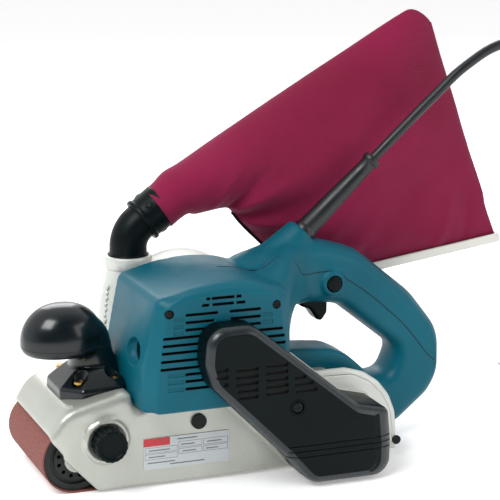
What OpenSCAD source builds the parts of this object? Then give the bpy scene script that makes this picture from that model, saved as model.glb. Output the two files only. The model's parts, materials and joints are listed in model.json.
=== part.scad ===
// Handheld belt sander: transverse motor, ribbed belt and gear drive, dust fan and bag.
// +X points to the rear handle, +Z up, and -Y to the side of the drive cover.
// The origin is the middle of the flat sole, on the underside of the abrasive belt.

/* [Abrasive belt and rollers] */
// Width of the abrasive belt
belt_w = 100; // [85:1:120]
// Developed length of the abrasive belt
belt_len = 610; // [560:1:740]
// Thickness of the abrasive belt
belt_t = 1.2; // [0.8:0.1:1.5]
// Outer radius of the belt on a roller, which is also the height of the axles
wrap_r = 26; // [24:0.5:27]
// Distance that the front roller draws back to free the belt
carrier_travel = 8; // [4:1:9]
// Radius of the drive roller's shaft
drive_shaft_r = 6; // [5:0.5:7]
// Radius of the front roller's axle
idler_axle_r = 5; // [4:0.5:6]

/* [Frame] */
// Height of the frame's deck
deck_z = 76; // [74:1:80]
// Thickness of the frame's walls
frame_wall = 5; // [4:0.5:6]
// Gap between the belt's edge and the inside of the left wall
belt_side_gap = 3; // [2:0.5:5]
// Height of the gap between the frame's lower edge and the ground
ground_gap = 2.5; // [2:0.5:4]

/* [Motor] */
// Height of the motor's axis
motor_z = 105; // [103:1:110]
// Radius of the motor's shaft
motor_shaft_r = 5; // [4:0.5:6]
// Outer radius of the stator
stator_r = 36; // [33:0.5:37]
// Radius of the armature core
armature_r = 21.5; // [18:0.5:24]
// Thickness of the motor housing's wall
housing_wall = 3; // [2.5:0.1:3.5]
// Distance from the frame's left face out to the vented end face
vent_reach = 24; // [20:1:28]

/* [Drive] */
// Effective radius of the motor's ribbed pulley
motor_pulley_r = 11; // [9:0.5:13]
// Effective radius of the countershaft's ribbed pulley
counter_pulley_r = 21; // [19:0.5:22]
// Teeth on the countershaft's pinion
pinion_teeth = 14; // [12:1:16]
// Teeth on the drive roller's gear
gear_teeth = 24; // [22:1:26]
// Radius of the countershaft
counter_shaft_r = 5; // [4:0.5:6]
// Wall of the drive cover
cover_wall = 3; // [2.5:0.5:3.5]
// Distance from the vented face out to the cover's face
cover_depth = 23; // [21:1:26]

/* [Dust path] */
// Radius of the dust fan
fan_r = 33; // [28:1:35]
// Bore of the dust nozzle
nozzle_bore_r = 15; // [13:0.5:16]
// Outer radius of the nozzle's rim
nozzle_rim_r = 18.2; // [18:0.1:20]
// Height of the nozzle's rim
nozzle_top = 158; // [150:1:170]

/* [Handle] */
// Half of the handle's thickness
handle_half = 20; // [18:0.5:22]
// Wall of the handle's halves
handle_wall = 3.5; // [3:0.5:4]
// Travel of the switch trigger
trigger_travel = 5; // [3:0.5:6]
// Travel of the lock button
lock_travel = 3.5; // [2:0.5:4]

/* [Mains cord] */
// Diameter of the cord
cord_d = 8; // [8:0.5:9]

/* [Hidden] */

fit_gap = 0.05;             // radial gap of a shaft in its bearing
run_gap = 0.3;              // gap between parts that move past each other
belt_gap = 0.3;             // gap between the abrasive belt and what it runs on
roller_r = wrap_r - belt_t - belt_gap;
axle_z = wrap_r;
centre_d = (belt_len - 2 * PI * wrap_r) / 2;
xf = -centre_d / 2;         // front roller axis
xd = centre_d / 2;          // drive roller axis
belt_inner_r = wrap_r - belt_t;
y_wall = -(belt_w / 2 + belt_side_gap);
y_left = y_wall - frame_wall;
y_right = belt_w / 2 + 2;
y_vent = y_left - vent_reach;
y_cover = y_vent - cover_depth;
y_fan = y_right - 34;       // inner face of the fan case
y_fan_end = y_right + 3;    // where the fan's cover plate starts
recess_z = 63;              // floor of the frame's recess below the motor
housing_z = recess_z + 1.5; // underside of the motor housing
housing_front = -66.5;
housing_rear = 50;
recess_front = housing_front - 1.5;
recess_rear = housing_rear + 2;
roller_half = belt_w / 2 - 2;
counter_x = xd - 23.6;
counter_z = axle_z + 6;
gear_centre_d = norm([xd - counter_x, counter_z - axle_z]);
gear_module = 2 * gear_centre_d / (pinion_teeth + gear_teeth);
guard_x = xd - 15.6;        // where the rear guard starts
guard_r = 35;               // outer radius of the rear guard round the drive roller
gear_tip_r = gear_module * (gear_teeth / 2 + 0.85);
gear_y = [y_left - 13, y_left - 5];
counter_plate_y = [y_left - 4.8, y_left];
pulley_y = [y_vent - 17, y_vent - 4];
bearing_r = 11;             // outer radius of the ball bearings
duct_x = -39;
duct_y = y_right - 7;
bend_z = nozzle_top + 18.3; // where the elbow's two axes meet
bag_tilt = 35.8;            // rise of the elbow's outlet
handle_x = xd - 111.65;     // how far the rear of the handle follows the drive roller

// ---------- shared shapes ----------

// Corners given as [x, y, radius] become an outline with true arcs.
function arc_steps(turn) = max(2, ceil(abs(turn) / 12));
function corner_arc(a, b, c, r) =
  let (u = (a - b) / norm(a - b), v = (c - b) / norm(c - b))
  let (half = acos(max(-1, min(1, u * v))) / 2)
  let (reach = min(r / tan(half), 0.49 * min(norm(a - b), norm(c - b))), rr = reach * tan(half))
  let (mid = b + (u + v) / norm(u + v) * rr / sin(half))
  let (s = b + u * reach - mid, e = b + v * reach - mid)
  let (a0 = atan2(s[1], s[0]), raw = atan2(e[1], e[0]) - a0)
  let (turn = raw > 180 ? raw - 360 : raw < -180 ? raw + 360 : raw, n = arc_steps(turn))
  [for (i = [0:n]) mid + rr * [cos(a0 + turn * i / n), sin(a0 + turn * i / n)]];
function rounded(P) =
  [for (i = [0:len(P) - 1])
    let (a = P[(i + len(P) - 1) % len(P)], b = P[i], c = P[(i + 1) % len(P)])
    each (b[2] > 0 ? corner_arc([a[0], a[1]], [b[0], b[1]], [c[0], c[1]], b[2]) : [[b[0], b[1]]])];

// A flat outline in X and Z, extruded from y0 to y1.
module slab(y0, y1) translate([0, y1, 0]) rotate([90, 0, 0]) linear_extrude(y1 - y0) children();
module rod_y(r, y0, y1, x = 0, z = 0) {
  translate([x, y1, z]) rotate([90, 0, 0]) cylinder(r = r, h = y1 - y0, $fn = 64);
}
module rod_x(r, x0, x1, y = 0, z = 0) translate([x0, y, z]) rotate([0, 90, 0]) cylinder(r = r, h = x1 - x0, $fn = 48);
module rod_z(r, z0, z1, x = 0, y = 0) translate([x, y, z0]) cylinder(r = r, h = z1 - z0, $fn = 48);
module ring_y(ro, ri, y0, y1, x = 0, z = 0) {
  difference() {
    rod_y(ro, y0, y1, x, z);
    rod_y(ri, y0 - 1, y1 + 1, x, z);
  }
}
module block(lo, hi) translate(lo) cube(hi - lo);

// Closed loop outline round the two rollers at radius r.
module loop_outline(r) {
  translate([xf, axle_z]) circle(r, $fn = 96);
  translate([xd, axle_z]) circle(r, $fn = 96);
  translate([xf, axle_z - r]) square([centre_d, 2 * r]);
}

// ---------- frame ----------

function nose_line() = [
  [xf - 22.9, 44.6], [xf - 13.4, 60.8], [xf - 6.4, 66.3], [xf + 2.6, 68.7], [xf + 18.6, 72.5],
  [xf + 36, deck_z - 0.5]
];
function guard_line() = [
  [guard_x, deck_z - 1.5, 0], [xd + 3, deck_z - 1.5, 14], [xd + 26, deck_z - 15, 22],
  [xd + 41, 30, 30], [xd + 44, 6, 3]
];
module frame_side_outline() {
  polygon(concat(nose_line(), [
    [recess_front, deck_z], [recess_front, recess_z], [recess_rear, recess_z], [recess_rear, deck_z],
    [guard_x, deck_z], [guard_x, 60], [xd + 8, axle_z + 30], [xd + 22, axle_z + 20], [xd + 29, axle_z],
    [xd + 29, ground_gap], [xf + 14.7, ground_gap], [xf - 3.2, 21.3], [xf - 13, 32]
  ]));
}
module roof_outline() {
  w = frame_wall;
  polygon(concat(nose_line(), [
    [recess_front, deck_z], [recess_front, recess_z], [recess_rear, recess_z], [recess_rear, deck_z],
    [guard_x, deck_z], [guard_x, deck_z - w], [recess_rear + w, deck_z - w],
    [recess_rear + w, recess_z - w], [recess_front - w, recess_z - w], [recess_front - w, deck_z - w - 0.5],
    [xf + 19.6, 72.5 - w], [xf + 4, 68.7 - w], [xf - 4, 66.3 - w], [xf - 10, 60.8 - w], [xf - 20.4, 44.6]
  ]));
}
// Everything below the deck's surface, which the pieces on the deck are cut to fit.
module below_deck() {
  slab(y_left - 60, y_right + 60) polygon(concat([[xf - 60, 44.6]], nose_line(), [
    [recess_front, deck_z], [recess_rear, deck_z], [guard_x, deck_z], [guard_x, -10], [xf - 60, -10]
  ]));
}
// Everything inside the rear guard's rounded shell.
module inside_guard(r) {
  polygon(concat([[guard_x - 60, -10], [guard_x - 60, deck_z + r - guard_r - 0.5], [guard_x, deck_z + r - guard_r - 0.5]],
    [for (a = [95:-5:-30]) [xd + r * cos(a), axle_z + r * sin(a)]], [[xd, -10]]));
}
module beam_outline() {
  z_top = 2 * axle_z - belt_t - 4;
  polygon(rounded([
    [xf + 44, 6, 2], [xd - 30, 6, 2], [xd - 27, 12, 4], [xd - 27, z_top - 8, 4], [xd - 34, z_top, 2],
    [xf + 47, z_top, 2], [xf + 44, z_top - 5, 2]
  ]));
}
module frame() color("#8e9284") {
  arm_y = [roller_half + 1, y_right];
  difference() {
    union() {
      slab(y_left, y_wall) frame_side_outline();
      slab(y_wall, y_right) roof_outline();
      slab(y_wall, y_right - 6) beam_outline();
      // arm that carries the drive roller's open end
      block([xd - 30, arm_y[0], axle_z - 9], [xd, arm_y[1], axle_z + 9]);
      block([xd - 34, y_right - 7, axle_z - 9], [xd - 28, arm_y[1], axle_z + 9]);
      rod_y(15, arm_y[0], arm_y[1], xd, axle_z);
      // raised ring round the tracking knob
      ring_y(17.5, 14, y_left - 3, y_left, xf + 21.5, 41);
    }
    rod_y(bearing_r, y_left - 1, y_wall + 1, xd, axle_z);
    rod_y(bearing_r, arm_y[0] - 1, arm_y[1] + 1, xd, axle_z);
    rod_y(3.2, y_left - 1, y_wall + 1, xf + 21.5, 41);
    // guide for the front roller's carrier, and the pocket for its spring and lever
    rod_x(6 + fit_gap, xf + 40, xf + 100, 0, axle_z);
    block([xf + 62, -12, axle_z - 9], [xf + 104, 12, axle_z + 9]);
    block([xf + 78, 8, axle_z - 9], [xf + 118, y_right, axle_z + 9]);
    // hollow rear half of the beam, open to the right
    block([xf + 124, y_wall, 12], [xd - 42, y_right, 2 * axle_z - belt_t - 10]);
    // dust inlet up to the fan
    rod_z(11, recess_z - frame_wall - 1, recess_z + 1, 24, y_fan + 18);
    for (p = plate_screw_places()) rod_z(1.6, 5, 14, p[0], p[1]);
    rod_y(2.5, y_left - 1, y_wall + 1, frame_screw_x(), 48.5);
    for (p = grip_screw_places()) rod_z(2, deck_z - 14, deck_z + 1, p[0], p[1]);
  }
}
function plate_screw_places() = [for (x = [xf + 52, xd - 40]) for (y = [-30, 30]) [x, y]];
function frame_screw_x() = -16.7;
function grip_screw_places() = [for (x = [xf + 9, recess_front - 8]) for (y = [-30, 18]) [x, y]];

module rear_guard() color("#b4beb9") {
  t = 4;
  difference() {
    union() {
      slab(y_left, y_wall) difference() {
        polygon(rounded(concat([[guard_x, 6, 0]], guard_line())));
        frame_side_outline();
      }
      // shell across the machine, round the belt
      slab(y_wall, y_right) difference() {
        inside_guard(guard_r);
        inside_guard(guard_r - t);
        translate([guard_x - 100, -20]) square([100, 200]);
        translate([guard_x - 100, -20]) square([200, 24]);
      }
    }
    rod_y(1.8, y_left - 1, y_wall + 1, xd + 39.5, 14);
  }
}

// ---------- platen ----------

module platen_pad() color("#7a5a3c") {
  difference() {
    block([xf + 46, -belt_w / 2 + 2, belt_t + belt_gap + 1.2], [xd - 32, belt_w / 2 - 6, 6]);
    for (p = plate_screw_places()) rod_z(2, 0, 8, p[0], p[1]);
  }
}
module platen_plate() color("#9aa0a4") {
  z0 = belt_t + belt_gap;
  difference() {
    union() {
      block([xf + 42, -belt_w / 2 + 2, z0], [xd - 32, belt_w / 2 - 2, z0 + 1.2]);
      // turned-up front lip
      block([xf + 42, -belt_w / 2 + 2, z0 + 0.6], [xf + 43.7, belt_w / 2 - 2, z0 + 7]);
    }
    for (p = plate_screw_places()) rod_z(1.7, 0, 8, p[0], p[1]);
  }
}

// ---------- abrasive belt and drive ----------

module sanding_belt() color("#84524b") {
  slab(-belt_w / 2, belt_w / 2) difference() {
    loop_outline(wrap_r);
    loop_outline(belt_inner_r);
  }
}
module drive_roller() color("#2b2e2e") {
  difference() {
    union() {
      rod_y(roller_r - 0.6, -roller_half, roller_half, xd, axle_z);
      // slightly crowned rubber sleeve
      rod_y(roller_r, -roller_half + 6, roller_half - 6, xd, axle_z);
    }
    rod_y(drive_shaft_r, -roller_half - 1, roller_half + 1, xd, axle_z);
    for (a = [0:60:300])
      rod_y(3, -roller_half - 1, -roller_half + 6, xd + 15.5 * cos(a), axle_z + 15.5 * sin(a));
  }
}
module drive_shaft() color("#b9bdc0") {
  rod_y(drive_shaft_r, gear_y[0] - 3, y_right - 0.5, xd, axle_z);
}
// Outline of a spur gear with straight-flanked teeth that mesh with play.
function gear_points(teeth, m, phase) =
  let (rp = teeth * m / 2, ro = rp + 0.85 * m, ri = rp - 1.1 * m, pitch = 360 / teeth)
  [for (i = [0:teeth - 1])
    each [for (p = [[ri, -0.27], [ro, -0.13], [ro, 0.13], [ri, 0.27]])
      p[0] * [cos(phase + (i + p[1]) * pitch), sin(phase + (i + p[1]) * pitch)]]];
mesh_angle = atan2(counter_z - axle_z, counter_x - xd);
module gear_wheel(teeth, phase, y0, y1, x, z, bore) {
  difference() {
    translate([x, 0, z]) slab(y0, y1) polygon(gear_points(teeth, gear_module, phase));
    rod_y(bore, y0 - 1, y1 + 1, x, z);
  }
}
module drive_gear() color("#8f8f88") {
  gear_wheel(gear_teeth, mesh_angle, gear_y[0], gear_y[1], xd, axle_z, drive_shaft_r);
}
module counter_pinion() color("#9b9b92") {
  gear_wheel(pinion_teeth, mesh_angle + 180 + 180 / pinion_teeth, gear_y[0], gear_y[1], counter_x,
    counter_z, counter_shaft_r);
}
module drive_bearings() color("#c2c6c8") {
  ring_y(bearing_r, drive_shaft_r + fit_gap, y_left, y_wall, xd, axle_z);
  ring_y(bearing_r, drive_shaft_r + fit_gap, roller_half + 1, y_right, xd, axle_z);
}
module counter_shaft() color("#b9bdc0") {
  rod_y(counter_shaft_r, pulley_y[0] - 1, y_left - 1, counter_x, counter_z);
}
// Pulley for a ribbed belt: grooves run round it, so it stays round in every position.
module ribbed_pulley(r, x, z, bore) {
  ribs = 4;
  pitch = (pulley_y[1] - pulley_y[0] - 3) / ribs;
  difference() {
    union() {
      rod_y(r - 1, pulley_y[0], pulley_y[1], x, z);
      rod_y(r + 2, pulley_y[1] - 1.5, pulley_y[1], x, z);
      for (i = [0:ribs]) rod_y(r - 0.2, pulley_y[0] + i * pitch, pulley_y[0] + i * pitch + 1.2, x, z);
    }
    rod_y(bore, pulley_y[0] - 1, pulley_y[1] + 1, x, z);
  }
}
module counter_pulley() color("#5b5f60") {
  ribbed_pulley(counter_pulley_r, counter_x, counter_z, counter_shaft_r);
}
module motor_pulley() color("#a9adaf") ribbed_pulley(motor_pulley_r, 0, motor_z, motor_shaft_r);
// The countershaft's bearings sit in a small bracket that is screwed to the frame's left face.
module counter_bearings() color("#c2c6c8") {
  difference() {
    slab(y_left - 4.8, y_left) polygon(rounded([
      [counter_x - 26, counter_z - 16, 6], [xd - drive_shaft_r - 7, counter_z - 16, 3],
      [xd - drive_shaft_r - 7, counter_z + 20, 3], [counter_x - 26, counter_z + 20, 6]
    ]));
    rod_y(counter_shaft_r + fit_gap, y_left - 6, y_left + 1, counter_x, counter_z);
    for (x = [counter_x - 20]) for (z = [counter_z - 10, counter_z + 14]) rod_y(1.6, y_left - 6, y_left + 1, x, z);
  }
  difference() {
    union() {
      ring_y(bearing_r, counter_shaft_r + fit_gap, gear_y[0] - 7, gear_y[0] - 1, counter_x, counter_z);
      slab(gear_y[0] - 7, gear_y[0] - 1) polygon(rounded([
        [counter_x - 26, counter_z - 16, 6], [counter_x - 8, counter_z - 9, 3],
        [counter_x - 8, counter_z + 9, 3], [counter_x - 26, counter_z + 20, 6]
      ]));
      block([counter_x - 26, gear_y[0] - 7, counter_z - 6], [counter_x - 21, y_left - 4.8, counter_z + 8]);
    }
    rod_y(counter_shaft_r + fit_gap, gear_y[0] - 9, gear_y[0], counter_x, counter_z);
  }
}
// Outline of the ribbed belt: an arc round each pulley, joined by their outer tangents.
module belt_outline(r1, r2) {
  d = norm([counter_x, counter_z - motor_z]);
  along = atan2(counter_z - motor_z, counter_x);
  lean = acos((r1 - r2) / d);
  polygon(concat(
    [for (i = [0:20]) let (a = along + lean + (360 - 2 * lean) * i / 20) [r1 * cos(a), motor_z + r1 * sin(a)]],
    [for (i = [0:32]) let (a = along - lean + 2 * lean * i / 32) [counter_x + r2 * cos(a), counter_z + r2 * sin(a)]]
  ));
}
module drive_belt() color("#1a1a1a") {
  slab(pulley_y[0] + 0.6, pulley_y[1] - 2) difference() {
    belt_outline(motor_pulley_r + 2.6, counter_pulley_r + 2.6);
    belt_outline(motor_pulley_r + 0.4, counter_pulley_r + 0.4);
  }
}

// ---------- motor ----------

module motor_shaft() color("#b9bdc0") rod_y(motor_shaft_r, pulley_y[0] - 1, y_fan + 28, 0, motor_z);
module armature_core() color("#7d7168") {
  difference() {
    union() {
      ring_y(armature_r, motor_shaft_r, -30, 8, 0, motor_z);
      // end windings
      ring_y(armature_r - 4, motor_shaft_r, -37, -30, 0, motor_z);
      ring_y(armature_r - 4, motor_shaft_r, 8, y_fan - 8, 0, motor_z);
    }
    for (a = [0:30:330]) translate([0, 0, motor_z]) rotate([0, a, 0])
      block([armature_r - 3, -31, -0.8], [armature_r + 1, 9, 0.8]);
  }
}
module commutator() color("#b87333") ring_y(13, motor_shaft_r, -56, -38, 0, motor_z);
module cooling_fan() color("#3a3f3f") {
  ring_y(9, motor_shaft_r, y_fan - 8, y_fan - 2, 0, motor_z);
  ring_y(30, 8.9, y_fan - 3.5, y_fan - 2, 0, motor_z);
  for (a = [0:30:330]) translate([0, 0, motor_z]) rotate([0, a, 0])
    block([8.5, y_fan - 8, -0.8], [30, y_fan - 3, 0.8]);
}
module dust_fan() color("#4a4f50") {
  y0 = y_fan + 8;
  ring_y(11, motor_shaft_r, y0, y_fan + 26, 0, motor_z);
  ring_y(fan_r, 10.9, y0, y0 + 2, 0, motor_z);
  for (a = [0:45:315]) translate([0, 0, motor_z]) rotate([0, a, 0])
    block([10, y0 + 1, -1], [fan_r, y_fan + 24, 1]);
}
module motor_bearings() color("#c2c6c8") {
  ring_y(bearing_r, motor_shaft_r + fit_gap, y_vent + housing_wall, y_vent + housing_wall + 9, 0, motor_z);
  ring_y(bearing_r, motor_shaft_r + fit_gap, y_fan, y_fan + 7, 0, motor_z);
}
module stator_core() color("#6d6a66") {
  ring_y(stator_r, armature_r + 0.8, -28, 6, 0, motor_z);
}
module field_coils() color("#a0522d") {
  for (y = [[-36, -28], [6, y_fan - 9]]) difference() {
    ring_y(stator_r - 4, armature_r + 3, y[0], y[1], 0, motor_z);
    block([-12, y[0] - 1, 0], [12, y[1] + 1, 200]);
  }
}
brush_y = -48;
brush_z = motor_z;
brush_recess_x = housing_front + 8;
module brush_holders() color("#b08d3c") {
  for (s = [0, 1]) mirror([s, 0, 0]) difference() {
    rod_x(6.5, s == 0 ? brush_recess_x + 2 : -housing_rear + 3, -16, brush_y, brush_z);
    block([-90, brush_y - 3, brush_z - 4.5], [0, brush_y + 3, brush_z + 4.5]);
  }
}
module carbon_brushes() color("#2c2c2e") {
  for (s = [0, 1]) mirror([s, 0, 0])
    block([-34, brush_y - 2.9, brush_z - 4.4], [-13.4, brush_y + 2.9, brush_z + 4.4]);
}
module brush_caps() color("#12191a") {
  difference() {
    union() {
      rod_x(8, brush_recess_x - 1.5, brush_recess_x + 2, brush_y, brush_z);
      rod_x(8, housing_rear - 3, housing_rear - 0.5, brush_y, brush_z);
    }
    block([brush_recess_x - 3, brush_y - 7, brush_z - 1], [brush_recess_x, brush_y + 7, brush_z + 1]);
  }
}

// ---------- motor housing ----------

function end_outline() = [
  [-58.3, housing_z, 2], [-59.5, 80, 20], [-55, 118, 60], [-50, 146, 9], [-38, 153, 14], [0, 156.5, 60],
  [34, 152, 10], [40.5, 142, 8], [47, 104.7, 10], [housing_rear, 90, 4], [housing_rear, housing_z, 2]
];
function crown_outline() = [
  [housing_front, housing_z, 2], [housing_front, 100, 40], [-62.5, 126, 30], [-54, 152, 22],
  [-30, 170, 26], [-6, 173, 60], [22, 170, 30], [housing_rear, 163, 4], [housing_rear, housing_z, 2]
];
module housing_form(inset, y0, y1) {
  hull() {
    slab(y0, y0 + 0.2) offset(delta = -inset) polygon(rounded(end_outline()));
    slab(y0 + 16, y0 + 16.2) offset(delta = -inset - 4) polygon(rounded(crown_outline()));
    slab(y0 + 30, y1) offset(delta = -inset) polygon(rounded(crown_outline()));
  }
}
vent_pitch = 5.5;
// Rows of vents as [left end, right end, height].
function vent_rows() = concat(
  [for (x = [[-43, -33], [-29, 7]]) for (z = [144.5, 139]) [x[0], x[1], z]],
  [for (i = [0:4]) [-53 - 0.5 * i, -30, 122 - i * vent_pitch]],
  [for (i = [0:2]) [27, 41 + i, 123 - i * vent_pitch]],
  [for (i = [0:2]) [-46 + 2 * i, -33, 89 - i * vent_pitch]]
);
module motor_housing() color("#1f5f6e") {
  difference() {
    union() {
      difference() {
        housing_form(0, y_vent, y_fan);
        housing_form(housing_wall, y_vent + housing_wall, y_fan + 1);
      }
      // two bulkheads that grip the stator
      for (y = [-26, 0]) difference() {
        intersection() {
          housing_form(1, y_vent, y_fan);
          block([-90, y, 0], [90, y + 4, 200]);
        }
        rod_y(stator_r, y - 1, y + 5, 0, motor_z);
      }
      // seat of the end bearing, and the two seats of the brush holders
      rod_y(bearing_r + 3, y_vent + 1, y_vent + housing_wall + 9, 0, motor_z);
      for (s = [-1, 0, 1]) rod_x(13.5, housing_front + 1, -46, brush_y + 5 * s, brush_z);
      rod_x(10, 36, housing_rear, brush_y, brush_z);
    }
    rod_y(bearing_r, y_vent + housing_wall, y_vent + 20, 0, motor_z);
    rod_y(motor_shaft_r + 2, y_vent - 1, y_vent + 20, 0, motor_z);
    for (s = [-1, 1]) rod_x(11, housing_front - 5, brush_recess_x, brush_y + 4.5 * s, brush_z);
    rod_x(6.5, housing_front - 5, -40, brush_y, brush_z);
    rod_x(8, housing_front - 5, brush_recess_x + 2, brush_y, brush_z);
    rod_x(6.5, 30, housing_rear + 5, brush_y, brush_z);
    rod_x(8, housing_rear - 3, housing_rear + 5, brush_y, brush_z);
    for (r = vent_rows())
      block([r[0], y_vent - 1, r[2] - 1.1], [r[1], y_vent + housing_wall + 2, r[2] + 1.1]);
    for (p = housing_screw_places()) {
      rod_y(2, y_vent - 1, y_vent + 20, p[0], p[1]);
      rod_y(4.5, y_vent - 1, y_vent + 1.2, p[0], p[1]);
    }
  }
}
function housing_screw_places() = [[-47.5, 140.5], [36, 141]];
module housing_screws() color("#30383a") {
  for (p = housing_screw_places()) difference() {
    union() {
      rod_y(4.2, y_vent - 0.6, y_vent + 1.2, p[0], p[1]);
      rod_y(2, y_vent + 1.2, y_vent + 14, p[0], p[1]);
    }
    block([p[0] - 3, y_vent - 2, p[1] - 0.5], [p[0] + 3, y_vent, p[1] + 0.5]);
    block([p[0] - 0.5, y_vent - 2, p[1] - 3], [p[0] + 0.5, y_vent, p[1] + 3]);
  }
}

// ---------- drive cover ----------

function cover_outline() = [
  [-27.2, 104, 24], [-25, 132.5, 22], [10, 133, 18], [xd - 14.66, 62.5, 14], [xd + 12, 56, 6], [xd + 14.8, 30, 20],
  [xd + 14.5, 2.5, 14], [60, 2.5, 16], [38, 27.5, 12], [-22, 87.5, 18]
];
module skirt_outline(inset) {
  intersection() {
    union() {
      offset(delta = -inset) polygon(rounded(cover_outline()));
      // bulge round the drive roller's gear
      translate([xd, axle_z]) circle(gear_tip_r + 1 + cover_wall - inset, $fn = 64);
    }
    translate([housing_rear + 4 + inset, -5]) square([200, 110]);
  }
}
module belt_cover() color("#0d1c1e") {
  w = cover_wall;
  difference() {
    union() {
      slab(y_cover + 7, y_vent) polygon(rounded(cover_outline()));
      hull() {
        slab(y_cover + 7, y_cover + 7.5) polygon(rounded(cover_outline()));
        slab(y_cover, y_cover + 0.5) offset(delta = -6) polygon(rounded(cover_outline()));
      }
      // skirt behind the vented face, down to the frame
      slab(y_vent, y_left) skirt_outline(0);
    }
    slab(y_cover + w, y_vent + 1) offset(delta = -w - 0.5) polygon(rounded(cover_outline()));
    slab(y_vent - 1, y_left + 1) skirt_outline(w);
    // louvres
    for (i = [0:4]) for (j = [0:3]) translate([10 + 15 * j, 0, 103 - 9.5 * i - 9.6 * j])
      rotate([0, 6, 0]) block([0, y_cover - 1, -1.3], [11, y_cover + 1.2, 1.3]);
    rod_y(3, y_cover - 1, y_cover + w + 1, 45.5, 66.5);
  }
}
module cover_screw() color("#23292b") {
  difference() {
    union() {
      rod_y(5, y_cover - 1.5, y_cover - 0.1, 45.5, 66.5);
      rod_y(2.5, y_cover - 0.1, y_vent, 45.5, 66.5);
    }
    block([41, y_cover - 2, 65.9], [50, y_cover - 0.8, 67.1]);
  }
}

// ---------- dust fan case and nozzle ----------

fan_case_x = 6;
fan_case_r = 53;
module fan_case() color("#abada3") {
  difference() {
    union() {
      intersection() {
        rod_y(fan_case_r, y_fan, y_fan_end, fan_case_x, motor_z);
        block([-80, y_fan - 5, housing_z], [80, y_fan_end + 5, 220]);
      }
      translate([duct_x, duct_y, housing_z]) cylinder(r1 = 23, r2 = 17, h = nozzle_top - 10 - housing_z, $fn = 64);
      rod_z(nozzle_rim_r, nozzle_top - 10, nozzle_top, duct_x, duct_y);
      // tangential throat between fan and nozzle
      block([duct_x - 17, y_fan, housing_z], [-10, y_fan_end, 112]);
    }
    intersection() {
      rod_y(fan_case_r - 4, y_fan + 4, y_fan_end + 1, fan_case_x, motor_z);
      block([-80, y_fan + 4, housing_z + 4], [80, y_fan_end + 5, 220]);
    }
    block([duct_x - 12, y_fan + 5, housing_z + 5], [-10, y_fan_end + 1, 108]);
    rod_z(nozzle_bore_r, 100, nozzle_top + 1, duct_x, duct_y);
    rod_z(11, housing_z - 1, housing_z + 6, 24, y_fan + 18);
    rod_y(bearing_r, y_fan - 1, y_fan + 5, 0, motor_z);
    // the nozzle stays clear of the cover plate
    block([-90, y_fan_end + 8, 0], [90, y_fan_end + 40, housing_z + 20]);
    block([-90, y_fan - 12, 0], [90, y_fan, nozzle_top - 14]);
  }
}
module fan_cover() color("#9da097") {
  difference() {
    intersection() {
      union() {
        rod_y(fan_case_r - 1, y_fan_end, y_fan_end + 3, fan_case_x, motor_z);
        block([duct_x - 16, y_fan_end, housing_z], [-10, y_fan_end + 3, 111]);
      }
      block([-80, y_fan, housing_z + 0.5], [80, y_fan_end + 5, 220]);
    }
    // leaves room for the nozzle's round wall
    translate([duct_x, duct_y, 0]) cylinder(r = 23.4, h = 200, $fn = 64);
    for (a = [-40, 20, 80, 140])
      rod_y(1.8, y_fan_end - 1, y_fan_end + 4, fan_case_x + 47 * cos(a), motor_z + 47 * sin(a));
  }
}

// ---------- front roller, carrier, tension and tracking ----------

module front_roller() color("#161c1b") {
  difference() {
    rod_y(roller_r, -roller_half, roller_half, xf, axle_z);
    rod_y(idler_axle_r + fit_gap, -roller_half - 1, roller_half + 1, xf, axle_z);
    // hollowed ends with a ring of small holes
    for (s = [-1, 1]) ring_y(roller_r - 5, roller_r - 8, s * roller_half - 2, s * roller_half + 2, xf, axle_z);
    for (a = [15:30:345])
      rod_y(1.5, -roller_half - 1, -roller_half + 5, xf + 13 * cos(a), axle_z + 13 * sin(a));
  }
}
module idler_axle() color("#b9bdc0") {
  rod_y(idler_axle_r, -roller_half - 4.2, roller_half + 4.2, xf, axle_z);
}
module roller_carrier() color("#8a8d87") {
  out = roller_half + 4;
  yoke_x = xf + roller_r + 1.2;
  difference() {
    union() {
      for (s = [-1, 1]) {
        y0 = s < 0 ? -out : roller_half + 0.5;
        y1 = s < 0 ? -roller_half - 0.5 : out;
        block([xf, y0, axle_z - 8], [yoke_x + 7, y1, axle_z + 8]);
        rod_y(9, y0, y1, xf, axle_z);
      }
      block([yoke_x, -out, axle_z - 8], [yoke_x + 7, out, axle_z + 8]);
      // ear that the tracking screw pushes
      block([xf + 14, -out, axle_z], [yoke_x + 3, -roller_half - 0.5, 45]);
      rod_x(6, yoke_x + 6, xf + 66, 0, axle_z);
      rod_x(8.5, xf + 66, xf + 69, 0, axle_z);
    }
    rod_y(idler_axle_r, -out - 1, out + 1, xf, axle_z);
  }
}
module tension_spring() color("#a5a9ab") {
  x0 = xf + 69.2 + 1.2;
  x1 = xf + 104 - 1.2;
  turns = 6;
  tube([for (k = [0:12 * turns]) [x0 + (x1 - x0) * k / 12 / turns, 6 * cos(30 * k), axle_z + 6 * sin(30 * k)]],
    1, 6, 1);
}
lever_x = xf + 98;
module tension_lever() color("#1b2223") {
  y0 = y_right - 4;
  difference() {
    union() {
      rod_y(6, 14, y_right + 5, lever_x, axle_z);
      slab(y_right + 0.5, y_right + 5) polygon(rounded([
        [lever_x - 7, axle_z - 7, 6], [lever_x + 24, axle_z - 4.5, 4], [lever_x + 25, axle_z + 3.5, 3],
        [lever_x - 7, axle_z + 7, 6]
      ]));
      rod_y(3.5, y_right + 5, y_right + 9, lever_x + 19, axle_z - 0.5);
    }
    for (i = [0:2]) rod_y(0.8, y0, y_right + 7, lever_x + 8 + 3 * i, axle_z + 4);
  }
}
knob_x = xf + 21.5;
knob_z = 41;
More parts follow.
